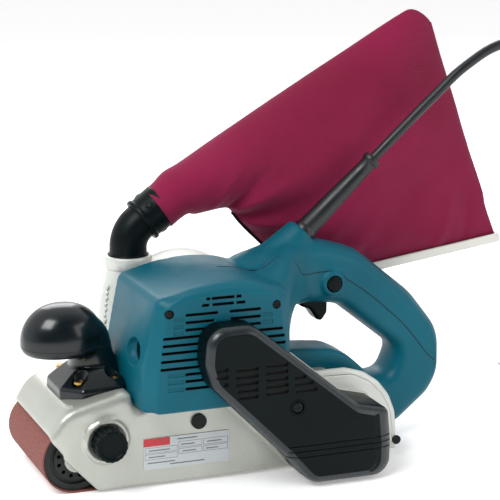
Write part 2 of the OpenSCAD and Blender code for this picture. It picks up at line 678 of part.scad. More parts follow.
module tracking_knob() color("#0f1a1a") {
  difference() {
    union() {
      rod_y(12.6, y_left - 15, y_left - 0.4, knob_x, knob_z);
      rod_y(10.5, y_left - 16, y_left - 15, knob_x, knob_z);
    }
    for (a = [0:20:340])
      rod_y(1, y_left - 13, y_left - 2, knob_x + 12.9 * cos(a), knob_z + 12.9 * sin(a));
    rod_y(3, y_left - 12, y_left, knob_x, knob_z);
    rod_y(7.5, y_left - 17, y_left - 15, knob_x, knob_z);
  }
}
module tracking_screw() color("#9fa3a5") rod_y(3, y_left - 12, y_wall + 0.6, knob_x, knob_z);
module frame_screws() color("#15191a") {
  rod_y(6, y_left - 2, y_left, frame_screw_x(), 48.5);
  rod_y(2.5, y_left, y_wall, frame_screw_x(), 48.5);
  rod_y(3.6, y_left - 1.6, y_left, xd + 39.5, 14);
  rod_y(1.8, y_left, y_left + 4, xd + 39.5, 14);
  for (p = plate_screw_places()) {
    rod_z(1.6, belt_t + belt_gap + 1.3, 13, p[0], p[1]);
  }
}
module name_plate() color("#bfc5c6") {
  block([-61, y_left - 0.6, 14], [8, y_left, 39]);
}

// ---------- front grip ----------

grip_x = (xf - 1.35 + recess_front) / 2;
grip_half = (recess_front - xf + 1.35) / 2;
grip_y = -6;
module front_grip() color("#1f3036") {
  difference() {
    union() {
      hull() {
        block([grip_x - grip_half, grip_y - 31, 60], [grip_x + grip_half, grip_y + 31, deck_z + 2]);
        block([grip_x - grip_half + 6, grip_y - 24, deck_z + 3], [grip_x + grip_half, grip_y + 24, deck_z + 10]);
      }
      hull() {
        block([grip_x - 10, grip_y - 17, deck_z + 2], [grip_x + grip_half, grip_y + 17, deck_z + 10]);
        translate([grip_x + 2, grip_y, deck_z + 26]) cylinder(r = 17, h = 12, $fn = 32);
      }
      // dome of the palm grip
      hull() {
        translate([grip_x - 18.7, grip_y, deck_z + 18]) cylinder(r = 21, h = 1, $fn = 32);
        translate([grip_x - 18.7, grip_y, deck_z + 29]) cylinder(r = 30, h = 6, $fn = 32);
        translate([grip_x - 18.7, grip_y, deck_z + 36]) resize([58, 58, 46]) sphere(r = 20, $fn = 32);
      }
    }
    below_deck();
    for (p = grip_screw_places()) {
      rod_z(2.2, deck_z - 20, deck_z + 14, p[0], p[1]);
      translate([p[0], p[1], deck_z + 3]) cylinder(r1 = 4.2, r2 = 8, h = 10, $fn = 32);
    }
  }
}
module grip_screws() color("#b89a4a") {
  for (p = grip_screw_places()) {
    rod_z(2, deck_z - 12, deck_z + 2.6, p[0], p[1]);
    rod_z(4, deck_z + 3, deck_z + 5, p[0], p[1]);
    rod_z(2, deck_z + 2.6, deck_z + 3, p[0], p[1]);
  }
}

// ---------- handle ----------

function handle_outline() = [
  [housing_rear, deck_z, 0], [housing_rear, 168, 8], [72, 176, 30], [94, 180, 8], [110, 171, 20],
  [136 + handle_x, 161, 40], [186 + handle_x, 121, 60], [216 + handle_x, 86, 30],
  [217 + handle_x, 44, 30], [196 + handle_x, 11, 26], [xd + 30, 8, 2], [xd + 20, 60, 0], [guard_x, deck_z, 0]
];
function opening_outline() = [
  [71, 116.5, 6], [96, 119.5, 8], [120 + handle_x, 116, 12], [171 + handle_x, 76, 9],
  [163 + handle_x, 56, 9], [146 + handle_x, 55, 10], [110 + handle_x, 82, 16], [73, 87, 6], [67, 100, 6]
];
module opening(y) slab(-y, y) polygon(rounded(opening_outline()));
module handle_form(inset) {
  difference() {
    union() {
      for (step = [[10, 0], [5, 2.5], [1.5, 6], [0, 9]])
        slab(-handle_half + inset + step[0], handle_half - inset - step[0])
          offset(delta = -inset - step[1]) polygon(rounded(handle_outline()));
      // shoulder that runs out of the motor housing into the handle's upper arm
      hull() {
        block([housing_rear, y_vent + 8 + inset, deck_z + 12 + inset], [housing_rear + 1, 10 - inset, 150 - inset]);
        block([housing_rear, -40 + inset, deck_z + 2 + inset], [housing_rear + 1, 4, 168 - inset]);
        block([96, -handle_half + inset, 126 + inset], [98 - inset, handle_half - inset, 170 - inset]);
      }
    }
    slab(-60, 60) offset(delta = inset) polygon(rounded(opening_outline()));
    below_deck();
    slab(-90, 90) inside_guard(guard_r + inset);
    rod_y(fan_case_r + 0.3 + inset, y_fan - 0.3 - inset, y_right + 20, fan_case_x, motor_z);
    slab(-120, y_left + inset) offset(delta = inset) polygon(rounded(cover_outline()));
    if (inset > 0) block([housing_rear - 1, -100, 0], [housing_rear + inset, 100, 200]);
  }
}
lock_x = 110.7;
lock_z = 137;
module on_guard(d) translate([guard_base[0], 0, guard_base[1]]) rotate([0, 90 - guard_rise, 0]) translate([0, 0, d]) children();
module handle_shell() {
  difference() {
    union() {
      difference() {
        handle_form(0);
        handle_form(handle_wall);
      }
      // boss that the cord guard comes out of, and screw posts
      on_guard(-16) cylinder(r = 13, h = 22, $fn = 48);
      for (p = handle_screw_places()) rod_y(4.5, -handle_half + 2, handle_half - 2, p[0], p[1]);
    }
    // slot of the trigger and hole of the lock button
    block([trigger_x0 - run_gap, -9 - run_gap, 100], [trigger_x1 + run_gap, 9 + run_gap, 130]);
    rod_y(6.5 + run_gap, -handle_half - 5, 0, lock_x, lock_z);
    // seat of the cord guard
    on_guard(-18) cylinder(r = 9.9, h = 46, $fn = 48);
    for (p = handle_screw_places()) rod_y(1.75, -handle_half + 4.9, handle_half + 1, p[0], p[1]);
    for (p = handle_screw_places()) rod_y(3.6, handle_half - 5, handle_half + 1, p[0], p[1]);
  }
}
module handle_left() color("#0d5563") {
  difference() {
    handle_shell();
    block([-200, 0, -50], [400, 100, 300]);
  }
}
module handle_right() color("#0d5563") {
  difference() {
    handle_shell();
    block([-200, -100, -50], [400, 0, 300]);
  }
}
function handle_screw_places() = [
  [128 + handle_x, 144], [190 + handle_x, 100], [194 + handle_x, 48], [172 + handle_x, 24], [66, 160]
];
module handle_screws() color("#2c3234") {
  for (p = handle_screw_places()) {
    rod_y(1.7, -handle_half + 5, handle_half - 5, p[0], p[1]);
    rod_y(3.4, handle_half - 5, handle_half - 3, p[0], p[1]);
  }
}
trigger_x0 = 88;
trigger_x1 = 108;
module trigger() color("#101e1e") {
  slab(-9, 9) polygon(rounded([
    [trigger_x0, 124, 2], [trigger_x0, 116, 2], [93, 112, 4], [trigger_x1 - 4, 105, 3], [trigger_x1, 108, 3],
    [trigger_x1, 124, 2]
  ]));
  block([trigger_x0 - 2, -8, 124], [trigger_x1 + 2, 8, 126]);
}
module switch_body() color("#23282a") {
  block([76, -12, 126.5 + trigger_travel], [100, 12, 152]);
}
module lock_button() color("#12242a") {
  rod_y(6.5, -handle_half - 3.8, -handle_half + 6, lock_x, lock_z);
  rod_y(8, -handle_half + 6, -handle_half + 7.5, lock_x, lock_z);
}

// ---------- elbow and dust bag ----------

// Places its children on the elbow's outlet axis, along local +Z.
module on_outlet(d) translate([duct_x, duct_y, bend_z]) rotate([0, 90 - bag_tilt, 0]) translate([0, 0, d]) children();
elbow_r = nozzle_bore_r - fit_gap;
bend_r = 24;                // radius of the elbow's bend along its middle
bend_reach = bend_r * tan((90 - bag_tilt) / 2);
module elbow_outline(r, more) {
  low = bend_z - bend_reach;
  translate([duct_x, duct_y, 132 - more]) cylinder(r = r, h = low + 1 - 132 + more, $fn = 64);
  translate([duct_x + bend_r, duct_y, low]) rotate([90, 0, 0]) rotate([0, 0, 90 + bag_tilt])
    rotate_extrude(angle = 90 - bag_tilt, $fn = 96) translate([bend_r, 0]) circle(r - 0.6, $fn = 64);
  on_outlet(bend_reach - 1) cylinder(r = r, h = 27 - bend_reach + more, $fn = 64);
}
module elbow() color("#333f42") {
  difference() {
    union() {
      elbow_outline(elbow_r, 0);
      // flange that rests on the nozzle's rim
      rod_z(nozzle_rim_r - 1.5, nozzle_top + 0.1, nozzle_top + 4, duct_x, duct_y);
    }
    elbow_outline(elbow_r - 2.5, 2);
  }
}
module bag_collar() color("#262e30") {
  difference() {
    union() {
      on_outlet(13.5) cylinder(r = 18, h = 4, $fn = 64);
      on_outlet(17.5) cylinder(r = 16.8, h = 8, $fn = 64);
      on_outlet(25.5) cylinder(r = 18, h = 4, $fn = 64);
      on_outlet(29.5) cylinder(r = 15.6, h = 10, $fn = 64);
    }
    on_outlet(12) cylinder(r = elbow_r + fit_gap, h = 17, $fn = 64);
    on_outlet(20) cylinder(r = 12.6, h = 30, $fn = 64);
  }
}
rail_start = [112, 122];
rail_rise = 8.1;
rail_len = 184;
module dust_bag() color("#912d51") {
  difference() {
    bag_form(0);
    bag_form(2);
    on_outlet(25) cylinder(r = 15.7, h = 18, $fn = 48);
  }
}
module bag_disc(x, z, half, r) translate([x, duct_y, z]) rotate([90, 0, 0]) cylinder(r = r, h = 2 * half, center = true, $fn = 24);
module bag_form(t) {
  // neck
  hull() {
    on_outlet(30 + t) cylinder(r = 18.5 - t, h = 1, $fn = 32);
    bag_disc(62, 195, 20 - t, 12 - t);
    bag_disc(52, 246, 18 - t, 9 - t);
  }
  // body, full in the middle and flat at its rear edge and at the rail
  hull() {
    bag_disc(62, 195, 20 - t, 12 - t);
    bag_disc(52, 246, 18 - t, 9 - t);
    bag_disc(150, 215, 24 - t, 40 - t);
    bag_disc(202, 333, 9 - t, 12 - t);
    for (d = [7, 175])
      bag_disc(rail_start[0] + d, rail_start[1] + d * tan(rail_rise) + 10.6, 6 - t, 6.5 - t);
  }
}
module bag_rail() color("#cecfc9") {
  translate([rail_start[0], duct_y, rail_start[1]]) rotate([0, -rail_rise, 0])
    difference() {
      block([0, -5, -3.5], [rail_len, 5, 3.5]);
      block([-1, -2.5, -1], [rail_len + 1, 2.5, 4]);
    }
}

// ---------- mains cord ----------

guard_rise = 42.7;
guard_len = 90;
guard_base = [88, 172];
guard_end = [guard_base[0] + guard_len * cos(guard_rise), 0, guard_base[1] + guard_len * sin(guard_rise)];
module cord_guard() color("#2c363a") {
  on_guard(-8) cylinder(r = 9.8, h = 18, $fn = 48);
  on_guard(10) cylinder(r1 = 8.4, r2 = 5.6, h = guard_len - 15, $fn = 32);
  on_guard(guard_len - 5) cylinder(r = 6.6, h = 5, $fn = 32);
}
// Route of the stretch that isn't coiled: up and out, over, and down to the floor.
coil_x = 380;
coil_y = 10;
coil_in = 30;
coil_out = 62;
coil_h = 32;
cord_route = [
  guard_end, [176, 0, 253], [205, 0, 279], [235, 0, 304], [268, 0, 320], [302, 0, 320], [330, 0, 298],
  [345, 0, 260], [352, 0, 210], [355, 0, 160], [356, -3, 110], [358, -12, 70], [364, -26, 42],
  [380, -40, 31], [400, -40, 27]
];
function spline(P, t) =
  let (n = len(P) - 1, i = min(n - 1, floor(t)), u = t - i)
  let (p0 = P[max(0, i - 1)], p1 = P[i], p2 = P[i + 1], p3 = P[min(n, i + 2)])
  0.5 * (2 * p1 + (p2 - p0) * u + (2 * p0 - 5 * p1 + 4 * p2 - p3) * u * u
    + (3 * p1 - p0 - 3 * p2 + p3) * u * u * u);
function unit(v) = v / norm(v);
module tube(P, r, sides, per) {
  n = (len(P) - 1) * per;
  C = [for (k = [0:n]) spline(P, k / per)];
  T = [for (k = [0:n]) unit(C[min(n, k + 1)] - C[max(0, k - 1)])];
  S = [for (k = [0:n]) unit(cross(T[k], [0.1, 1, 0]))];
  U = [for (k = [0:n]) cross(S[k], T[k])];
  ring = [for (k = [0:n]) for (j = [0:sides - 1])
    C[k] + r * (cos(360 * j / sides) * S[k] + sin(360 * j / sides) * U[k])];
  walls = [for (k = [0:n - 1]) for (j = [0:sides - 1])
    let (a = k * sides + j, b = k * sides + (j + 1) % sides) [a, b, b + sides, a + sides]];
  ends = [[for (j = [sides - 1:-1:0]) j], [for (j = [0:sides - 1]) n * sides + j]];
  polyhedron(ring, concat(walls, ends), convexity = 6);
}
// Short end between the coil and the plug's sleeve.
tail_route = [
  [coil_x + 54, coil_y + 14, 5], [coil_x + 60.5, coil_y + 22, 4.8], [coil_x + 57, coil_y + 48, 7],
  [coil_x + 52, coil_y + 69, 10.5], [coil_x + 46, coil_y + 81, 13.2], [coil_x + 39.5, coil_y + 84, 14],
  [coil_x + 35.8, coil_y + 84, 14], [coil_x + 32, coil_y + 84, 14]
];
module cord() color("#3b4144") {
  tube(cord_route, cord_d / 2, 10, 3);
  tube(tail_route, cord_d / 2, 10, 3);
}
module cord_coil() color("#3b4144") {
  translate([coil_x, coil_y, 0]) rotate_extrude($fn = 64)
    polygon(rounded([[coil_in, 0, 6], [coil_out, 0, 6], [coil_out, coil_h, 8], [coil_in, coil_h, 8]]));
}
module coil_tie() color("#22282a") {
  difference() {
    block([coil_x - coil_out - 2, coil_y - 4, 0], [coil_x - coil_in + 2, coil_y + 4, coil_h + 2]);
    block([coil_x - coil_out, coil_y - 5, -1], [coil_x - coil_in + 0.4, coil_y + 5, coil_h]);
  }
}
module plug() color("#2a2f31") {
  translate([coil_x - 10, coil_y + coil_out + 22, 0]) mirror([1, 0, 0]) {
    hull() {
      block([-22, -13, 2], [10, 13, 26]);
      block([-22, -9, 0.2], [18, 9, 28]);
    }
    translate([-22, 0, 14]) rotate([0, -90, 0]) cylinder(r1 = 8, r2 = 5, h = 20, $fn = 32);
  }
}
module plug_pins() color("#c9ccce") {
  for (s = [-1, 1]) rod_x(2.4, coil_x - 47, coil_x - 28, coil_y + coil_out + 22 + 7.6 * s, 14);
}

frame();
rear_guard();
platen_pad();
platen_plate();
sanding_belt();
drive_roller();
drive_shaft();
drive_gear();
drive_bearings();
counter_shaft();
counter_pulley();
counter_pinion();
counter_bearings();
drive_belt();
motor_pulley();
motor_shaft();
armature_core();
commutator();
cooling_fan();
dust_fan();
motor_bearings();
stator_core();
field_coils();
brush_holders();
carbon_brushes();
brush_caps();
motor_housing();
housing_screws();
belt_cover();
cover_screw();
fan_case();
fan_cover();
front_roller();
idler_axle();
roller_carrier();
tension_spring();
tension_lever();
tracking_knob();
tracking_screw();
frame_screws();
name_plate();
front_grip();
grip_screws();
handle_left();
handle_right();
handle_screws();
trigger();
switch_body();
lock_button();
elbow();
bag_collar();
dust_bag();
bag_rail();
cord_guard();
cord();
cord_coil();
coil_tie();
plug();
plug_pins();
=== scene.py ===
# %% [markdown]
# # A handheld belt sander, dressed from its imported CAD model
# The tool has a cast frame with an abrasive belt round two rollers, a teal motor housing
# across it, a black drive cover on the side, a palm grip in front, a D-handle behind and a
# cloth dust bag on an elbow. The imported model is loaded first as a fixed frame. Each visible
# piece is then either given a better finish or replaced by a finer form in the same place.

# %% Load the frame
import json
import math
import bmesh
import bpy
from mathutils import Matrix, Vector, noise
from mathutils.bvhtree import BVHTree


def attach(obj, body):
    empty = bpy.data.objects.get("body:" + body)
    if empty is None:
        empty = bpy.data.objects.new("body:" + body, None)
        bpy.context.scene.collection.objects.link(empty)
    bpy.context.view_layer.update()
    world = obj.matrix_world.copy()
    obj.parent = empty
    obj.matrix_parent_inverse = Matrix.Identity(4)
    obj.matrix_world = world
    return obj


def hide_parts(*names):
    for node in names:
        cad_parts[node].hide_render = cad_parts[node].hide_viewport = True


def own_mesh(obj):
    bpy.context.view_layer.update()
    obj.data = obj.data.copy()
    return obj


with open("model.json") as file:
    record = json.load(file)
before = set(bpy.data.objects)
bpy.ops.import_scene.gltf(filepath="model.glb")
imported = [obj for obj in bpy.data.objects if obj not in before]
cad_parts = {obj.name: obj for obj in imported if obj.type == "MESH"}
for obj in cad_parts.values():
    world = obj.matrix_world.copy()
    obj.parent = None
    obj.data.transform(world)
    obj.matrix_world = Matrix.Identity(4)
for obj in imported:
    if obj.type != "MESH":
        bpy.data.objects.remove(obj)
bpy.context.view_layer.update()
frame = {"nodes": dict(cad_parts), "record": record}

# %% [markdown]
# ## The camera
# A tool this size is best seen from a few metres with a long lens, so that its upright
# lines stay nearly parallel. The camera looks down a little from the front left. Its place is
# written in metres in the tool's own frame, and its three axes are built from two angles and a
# slight roll.

# %% Place the camera
def aim(azimuth, pitch, roll):
    """Rotation of a camera that looks along azimuth (from +Y towards +X), down by pitch, in degrees."""
    a, p, r = (math.radians(v) for v in (azimuth, pitch, roll))
    forward = Vector((math.sin(a) * math.cos(p), math.cos(a) * math.cos(p), -math.sin(p)))
    level = Vector((math.cos(a), -math.sin(a), 0))
    lift = level.cross(forward)
    right = math.cos(r) * level + math.sin(r) * lift
    up = -math.sin(r) * level + math.cos(r) * lift
    return Matrix((right, up, -forward)).transposed()


camera = bpy.data.objects.new("camera", bpy.data.cameras.new("camera"))
bpy.context.scene.collection.objects.link(camera)
camera.data.lens = 132.74
camera.data.clip_end = 30
camera.matrix_world = Matrix.Translation((-0.47796, -1.31599, 0.49355)) @ aim(21.761, 13.069, 0.525).to_4x4()
bpy.context.scene.camera = camera
print("camera at", [round(v, 3) for v in camera.location])

# %% [markdown]
# ## Meshes from lines
# Most housings here are mouldings or castings: an outline with rounded corners that is carried
# along the machine, with a rounded rim where it ends. An outline is written as corners, each
# with its radius in millimetres. Moving its edges inwards gives the next line of the rim, and a
# loft joins the lines with faces. Every line has the same number of points, so the faces stay
# regular and shade smoothly.

# %% Rounded outlines
def rounded(corners, steps=8):
    """Corners (x, z, radius) in mm become a closed line of points with true arcs."""
    line = []
    for i, (x, z, radius) in enumerate(corners):
        before, here, after = Vector(corners[i - 1][:2]), Vector((x,
            z)), Vector(corners[(i + 1) % len(corners)][:2])
        u, v = (before - here).normalized(), (after - here).normalized()
        half = math.acos(max(-1, min(1, u.dot(v)))) / 2
        reach = min(max(radius, 0.05) / math.tan(half),
            0.49 * min((before - here).length, (after - here).length))
        r = reach * math.tan(half)
        middle = here + (u + v).normalized() * r / math.sin(half)
        start, end = here + u * reach - middle, here + v * reach - middle
        a = math.atan2(start.y, start.x)
        turn = (math.atan2(end.y, end.x) - a + math.pi) % (2 * math.pi) - math.pi
        line += [middle + r * Vector((math.cos(a + turn * k / steps), math.sin(a + turn * k / steps)))
                 for k in range(steps + 1)]
    return line


def inset(corners, distance, weights=None):
    """The same corners with each edge moved inwards, by distance times that edge's weight."""
    points = [Vector(c[:2]) for c in corners]
    n = len(points)
    area = sum(points[i - 1].x * points[i].y - points[i].x * points[i - 1].y for i in range(n))
    side = 1 if area > 0 else -1
    ways = [(points[(i + 1) % n] - points[i]).normalized() for i in range(n)]
    inward = [side * Vector((-w.y, w.x)) for w in ways]
    moved = []
    for i in range(n):
        d0 = distance * (weights[i - 1] if weights else 1)
        d1 = distance * (weights[i] if weights else 1)
        a, b = inward[i - 1], inward[i]
        cross = a.x * b.y - a.y * b.x
        if abs(cross) < 1e-3:
            shift = (a * d0 + b * d1) / 2
        else:
            shift = Vector((d0 * b.y - d1 * a.y, d1 * a.x - d0 * b.x)) / cross
        convex = side * (ways[i - 1].x * ways[i].y - ways[i - 1].y * ways[i].x) > 0
        radius = corners[i][2] + (-distance if convex else distance)
        moved.append((points[i].x + shift.x, points[i].y + shift.y, max(radius, 0.3)))
    return moved


def at_y(line, y):
    """Puts a flat line of (x, z) points in mm at a height y, in metres."""
    return [Vector((p[0], y, p[1])) / 1000 for p in line]


print("a test square has", len(rounded([(0, 0, 1), (9, 0, 1), (9, 9, 1), (0, 9, 1)])), "points")

# %% Lofts, smooth shading and cuts
def new_object(name, mesh):
    obj = bpy.data.objects.new(name, mesh)
    bpy.context.scene.collection.objects.link(obj)
    return obj


def loft(name, rings, caps=True, loop=False):
    """Joins closed rings of equal length, in metres, with faces."""
    n, rows = len(rings[0]), len(rings)
    faces = []
    for k in range(rows if loop else rows - 1):
        for i in range(n):
            a, b, c = k * n + i, k * n + (i + 1) % n, (k + 1) % rows * n
            faces.append((a, b, c + (i + 1) % n, c + i))
    if caps and not loop:
        faces += [tuple(range(n))[::-1], tuple((rows - 1) * n + i for i in range(n))]
    mesh = bpy.data.meshes.new(name)
    mesh.from_pydata([p for ring in rings for p in ring], [], faces)
    work = bmesh.new()
    work.from_mesh(mesh)
    bmesh.ops.remove_doubles(work, verts=work.verts, dist=2e-6)
    bmesh.ops.recalc_face_normals(work, faces=work.faces)
    work.to_mesh(mesh)
    work.free()
    return new_object(name, mesh)


def soften(obj, angle=35):
    """Smooth shading, with a crease only where faces meet more sharply than angle."""
    obj.data.shade_smooth()
    obj.data.set_sharp_from_angle(angle=math.radians(angle))
    return obj


def settle(obj):
    """Makes the modifiers of obj part of its mesh."""
    shaped = obj.evaluated_get(bpy.context.evaluated_depsgraph_get())
    obj.data = bpy.data.meshes.new_from_object(shaped)
    obj.modifiers.clear()
    return obj


def discard(obj):
    bpy.data.objects.remove(obj)


def carve(obj, *tools, how="DIFFERENCE"):
    """Cuts each tool out of obj, or joins it on, and throws the tool away."""
    for tool in tools:
        step = obj.modifiers.new("carve", "BOOLEAN")
        step.operation, step.solver, step.object, step.material_mode = how, "EXACT", tool, "TRANSFER"
        settle(obj)
        discard(tool)
    return obj


def gather(name, parts):
    """One object from several, so that a remesh or a single cut takes them together."""
    mesh, work = bpy.data.meshes.new(name), bmesh.new()
    for part in parts:
        part.data.transform(part.matrix_world)
        work.from_mesh(part.data)
        discard(part)
    work.to_mesh(mesh)
    work.free()
    return new_object(name, mesh)


def skin(obj, voxel, passes, where=None):
    """Wraps obj in one even skin of small faces, and smooths it where the test of a point allows."""
    step = obj.modifiers.new("skin", "REMESH")
    step.mode, step.voxel_size = "VOXEL", voxel
    settle(obj)
    work = bmesh.new()
    work.from_mesh(obj.data)
    chosen = [v for v in work.verts if where is None or where(v.co)]
    for _ in range(passes):
        bmesh.ops.smooth_vert(work, verts=chosen, factor=0.5, use_axis_x=True, use_axis_y=True,
            use_axis_z=True)
    work.to_mesh(obj.data)
    work.free()
    return obj


def along(rows):
    """Rings for a slab: rows are (y, line) pairs in mm."""
    return [at_y(line, y) for y, line in rows]


def slab(name, corners, y0, y1, rim=1.0, weights=None, steps=8, cut=5):
    """A flat piece between y0 and y1 with both of its rims rounded."""
    rows = [(y0 + rim - rim * math.cos(math.pi / 2 * k / cut),
        rounded(inset(corners, rim - rim * math.sin(math.pi / 2 * k / cut), weights), steps))
        for k in range(cut + 1)]
    rows += [(y1 - (y - y0), line) for y, line in reversed(rows)]
    return loft(name, along(rows))


def turned(name, profile, base, axis, facets=64, ribs=0, rib_depth=0.0):
    """A lathe form: profile rows are (distance along axis, radius, share of the ribs) in mm."""
    axis = Vector(axis).normalized()
    side = axis.cross((0, 1, 0) if abs(axis.y) < 0.9 else (1, 0, 0)).normalized()
    over = axis.cross(side)
    rings = []
    for row in profile:
        d, r, share = row if len(row) == 3 else (*row, 0)
        ring = []
        for i in range(facets):
            a = 2 * math.pi * i / facets
            q = r - rib_depth * share * (0.5 - 0.5 * math.cos(ribs * a))
            ring.append((Vector(base) + axis * d + q * (math.cos(a) * side + math.sin(a) * over)) / 1000)
        rings.append(ring)
    return loft(name, rings)


def brick(lo, hi, name="tool"):
    """A plain block in mm, used only to cut with."""
    work, mesh = bmesh.new(), bpy.data.meshes.new(name)
    bmesh.ops.create_cube(work, size=1)
    lo, hi = Vector(lo) / 1000, Vector(hi) / 1000
    for v in work.verts:
        v.co = Vector([lo[i] + (v.co[i] + 0.5) * (hi[i] - lo[i]) for i in range(3)])
    work.to_mesh(mesh)
    work.free()
    return new_object(name, mesh)


print("mesh tools ready")

# %% [markdown]
# ## Finishes
# A real surface is never one even colour. Moulded nylon has a spark-eroded grain and drifts a
# little in tone; a casting is lacquered over a slightly uneven skin; cloth has threads and a
# soft sheen. Each finish is built from the same few steps: a slow noise that shifts the colour, a
# finer one that shifts the gloss, a grain in the bump, and a Bevel node that rounds the edges
# of a surface for the light without changing its mesh. Noise runs on object coordinates, in
# metres, so a grain keeps its real size on every piece.

# %% Building blocks of a finish
def tone(r, g, b):
    """A colour given as 0 to 255 screen values, as the linear light that a shader takes."""
    return tuple((v / 255 / 12.92) if v < 10.3 else ((v / 255 + 0.055) / 1.055) ** 2.4
        for v in (r, g, b)) + (1.0,)


def add(tree, kind, **values):
    """A node of that kind, with its sockets and properties set by name."""
    made = tree.nodes.new("ShaderNode" + kind)
    for key, value in values.items():
        if key in made.inputs:
            made.inputs[key].default_value = value
        else:
            setattr(made, key, value)
    return made


def drift(tree, place, scale, low, high, detail=3.0):
    """Noise of that scale, stretched to run from low to high."""
    cloud = add(tree, "TexNoise", Scale=scale, Detail=detail)
    tree.links.new(place, cloud.inputs["Vector"])
    spread = add(tree, "MapRange")
    spread.inputs["From Min"].default_value, spread.inputs["From Max"].default_value = 0.3, 0.7
    spread.inputs["To Min"].default_value, spread.inputs["To Max"].default_value = low, high
    tree.links.new(cloud.outputs["Fac"], spread.inputs["Value"])
    return spread.outputs["Result"]


def finish(name, colour, shade, gloss, grain=1500, depth=0.00004, edge=0.0006, wander=18, weave=None, **shader):
    """A finish: two tones, roughness from low to high, grain per metre and its depth, edge radius in metres."""
    made = bpy.data.materials.new(name)
    made.use_nodes = True
    tree = made.node_tree
    surface = tree.nodes["Principled BSDF"]
    place = add(tree, "TexCoord").outputs["Object"]
    blend = add(tree, "Mix", data_type="RGBA")
    blend.inputs[6].default_value, blend.inputs[7].default_value = tone(*colour), tone(*shade)
    tree.links.new(drift(tree, place, wander, 0, 1), blend.inputs[0])
    tree.links.new(blend.outputs[2], surface.inputs["Base Color"])
    tree.links.new(drift(tree, place, wander * 3, *gloss), surface.inputs["Roughness"])
    normal = add(tree, "Bevel", samples=6, Radius=edge).outputs["Normal"]
    if weave:
        height = threads(tree, place, weave)
    else:
        height = drift(tree, place, grain, 0, 1, 1.0)
    bump = add(tree, "Bump", Distance=depth)
    bump.inputs["Strength"].default_value = 0.9
    tree.links.new(height, bump.inputs["Height"])
    tree.links.new(normal, bump.inputs["Normal"])
    tree.links.new(bump.outputs["Normal"], surface.inputs["Normal"])
    for key, value in shader.items():
        surface.inputs[key.replace("_", " ")].default_value = value
    return made


def threads(tree, place, per_metre):
    """The height of a plain weave: warp and weft threads that rise over each other."""
    warp = add(tree, "TexWave", Scale=per_metre / 6.2, Distortion=0.4, bands_direction="X")
    weft = add(tree, "TexWave", Scale=per_metre / 6.2, Distortion=0.4, bands_direction="Z")
    for band in (warp, weft):
        tree.links.new(place, band.inputs["Vector"])
    top = add(tree, "Math", operation="MAXIMUM")
    tree.links.new(warp.outputs["Fac"], top.inputs[0])
    tree.links.new(weft.outputs["Fac"], top.inputs[1])
    return top.outputs[0]


print("a mid grey of 128 is", round(tone(128, 128, 128)[0], 3), "in linear light")

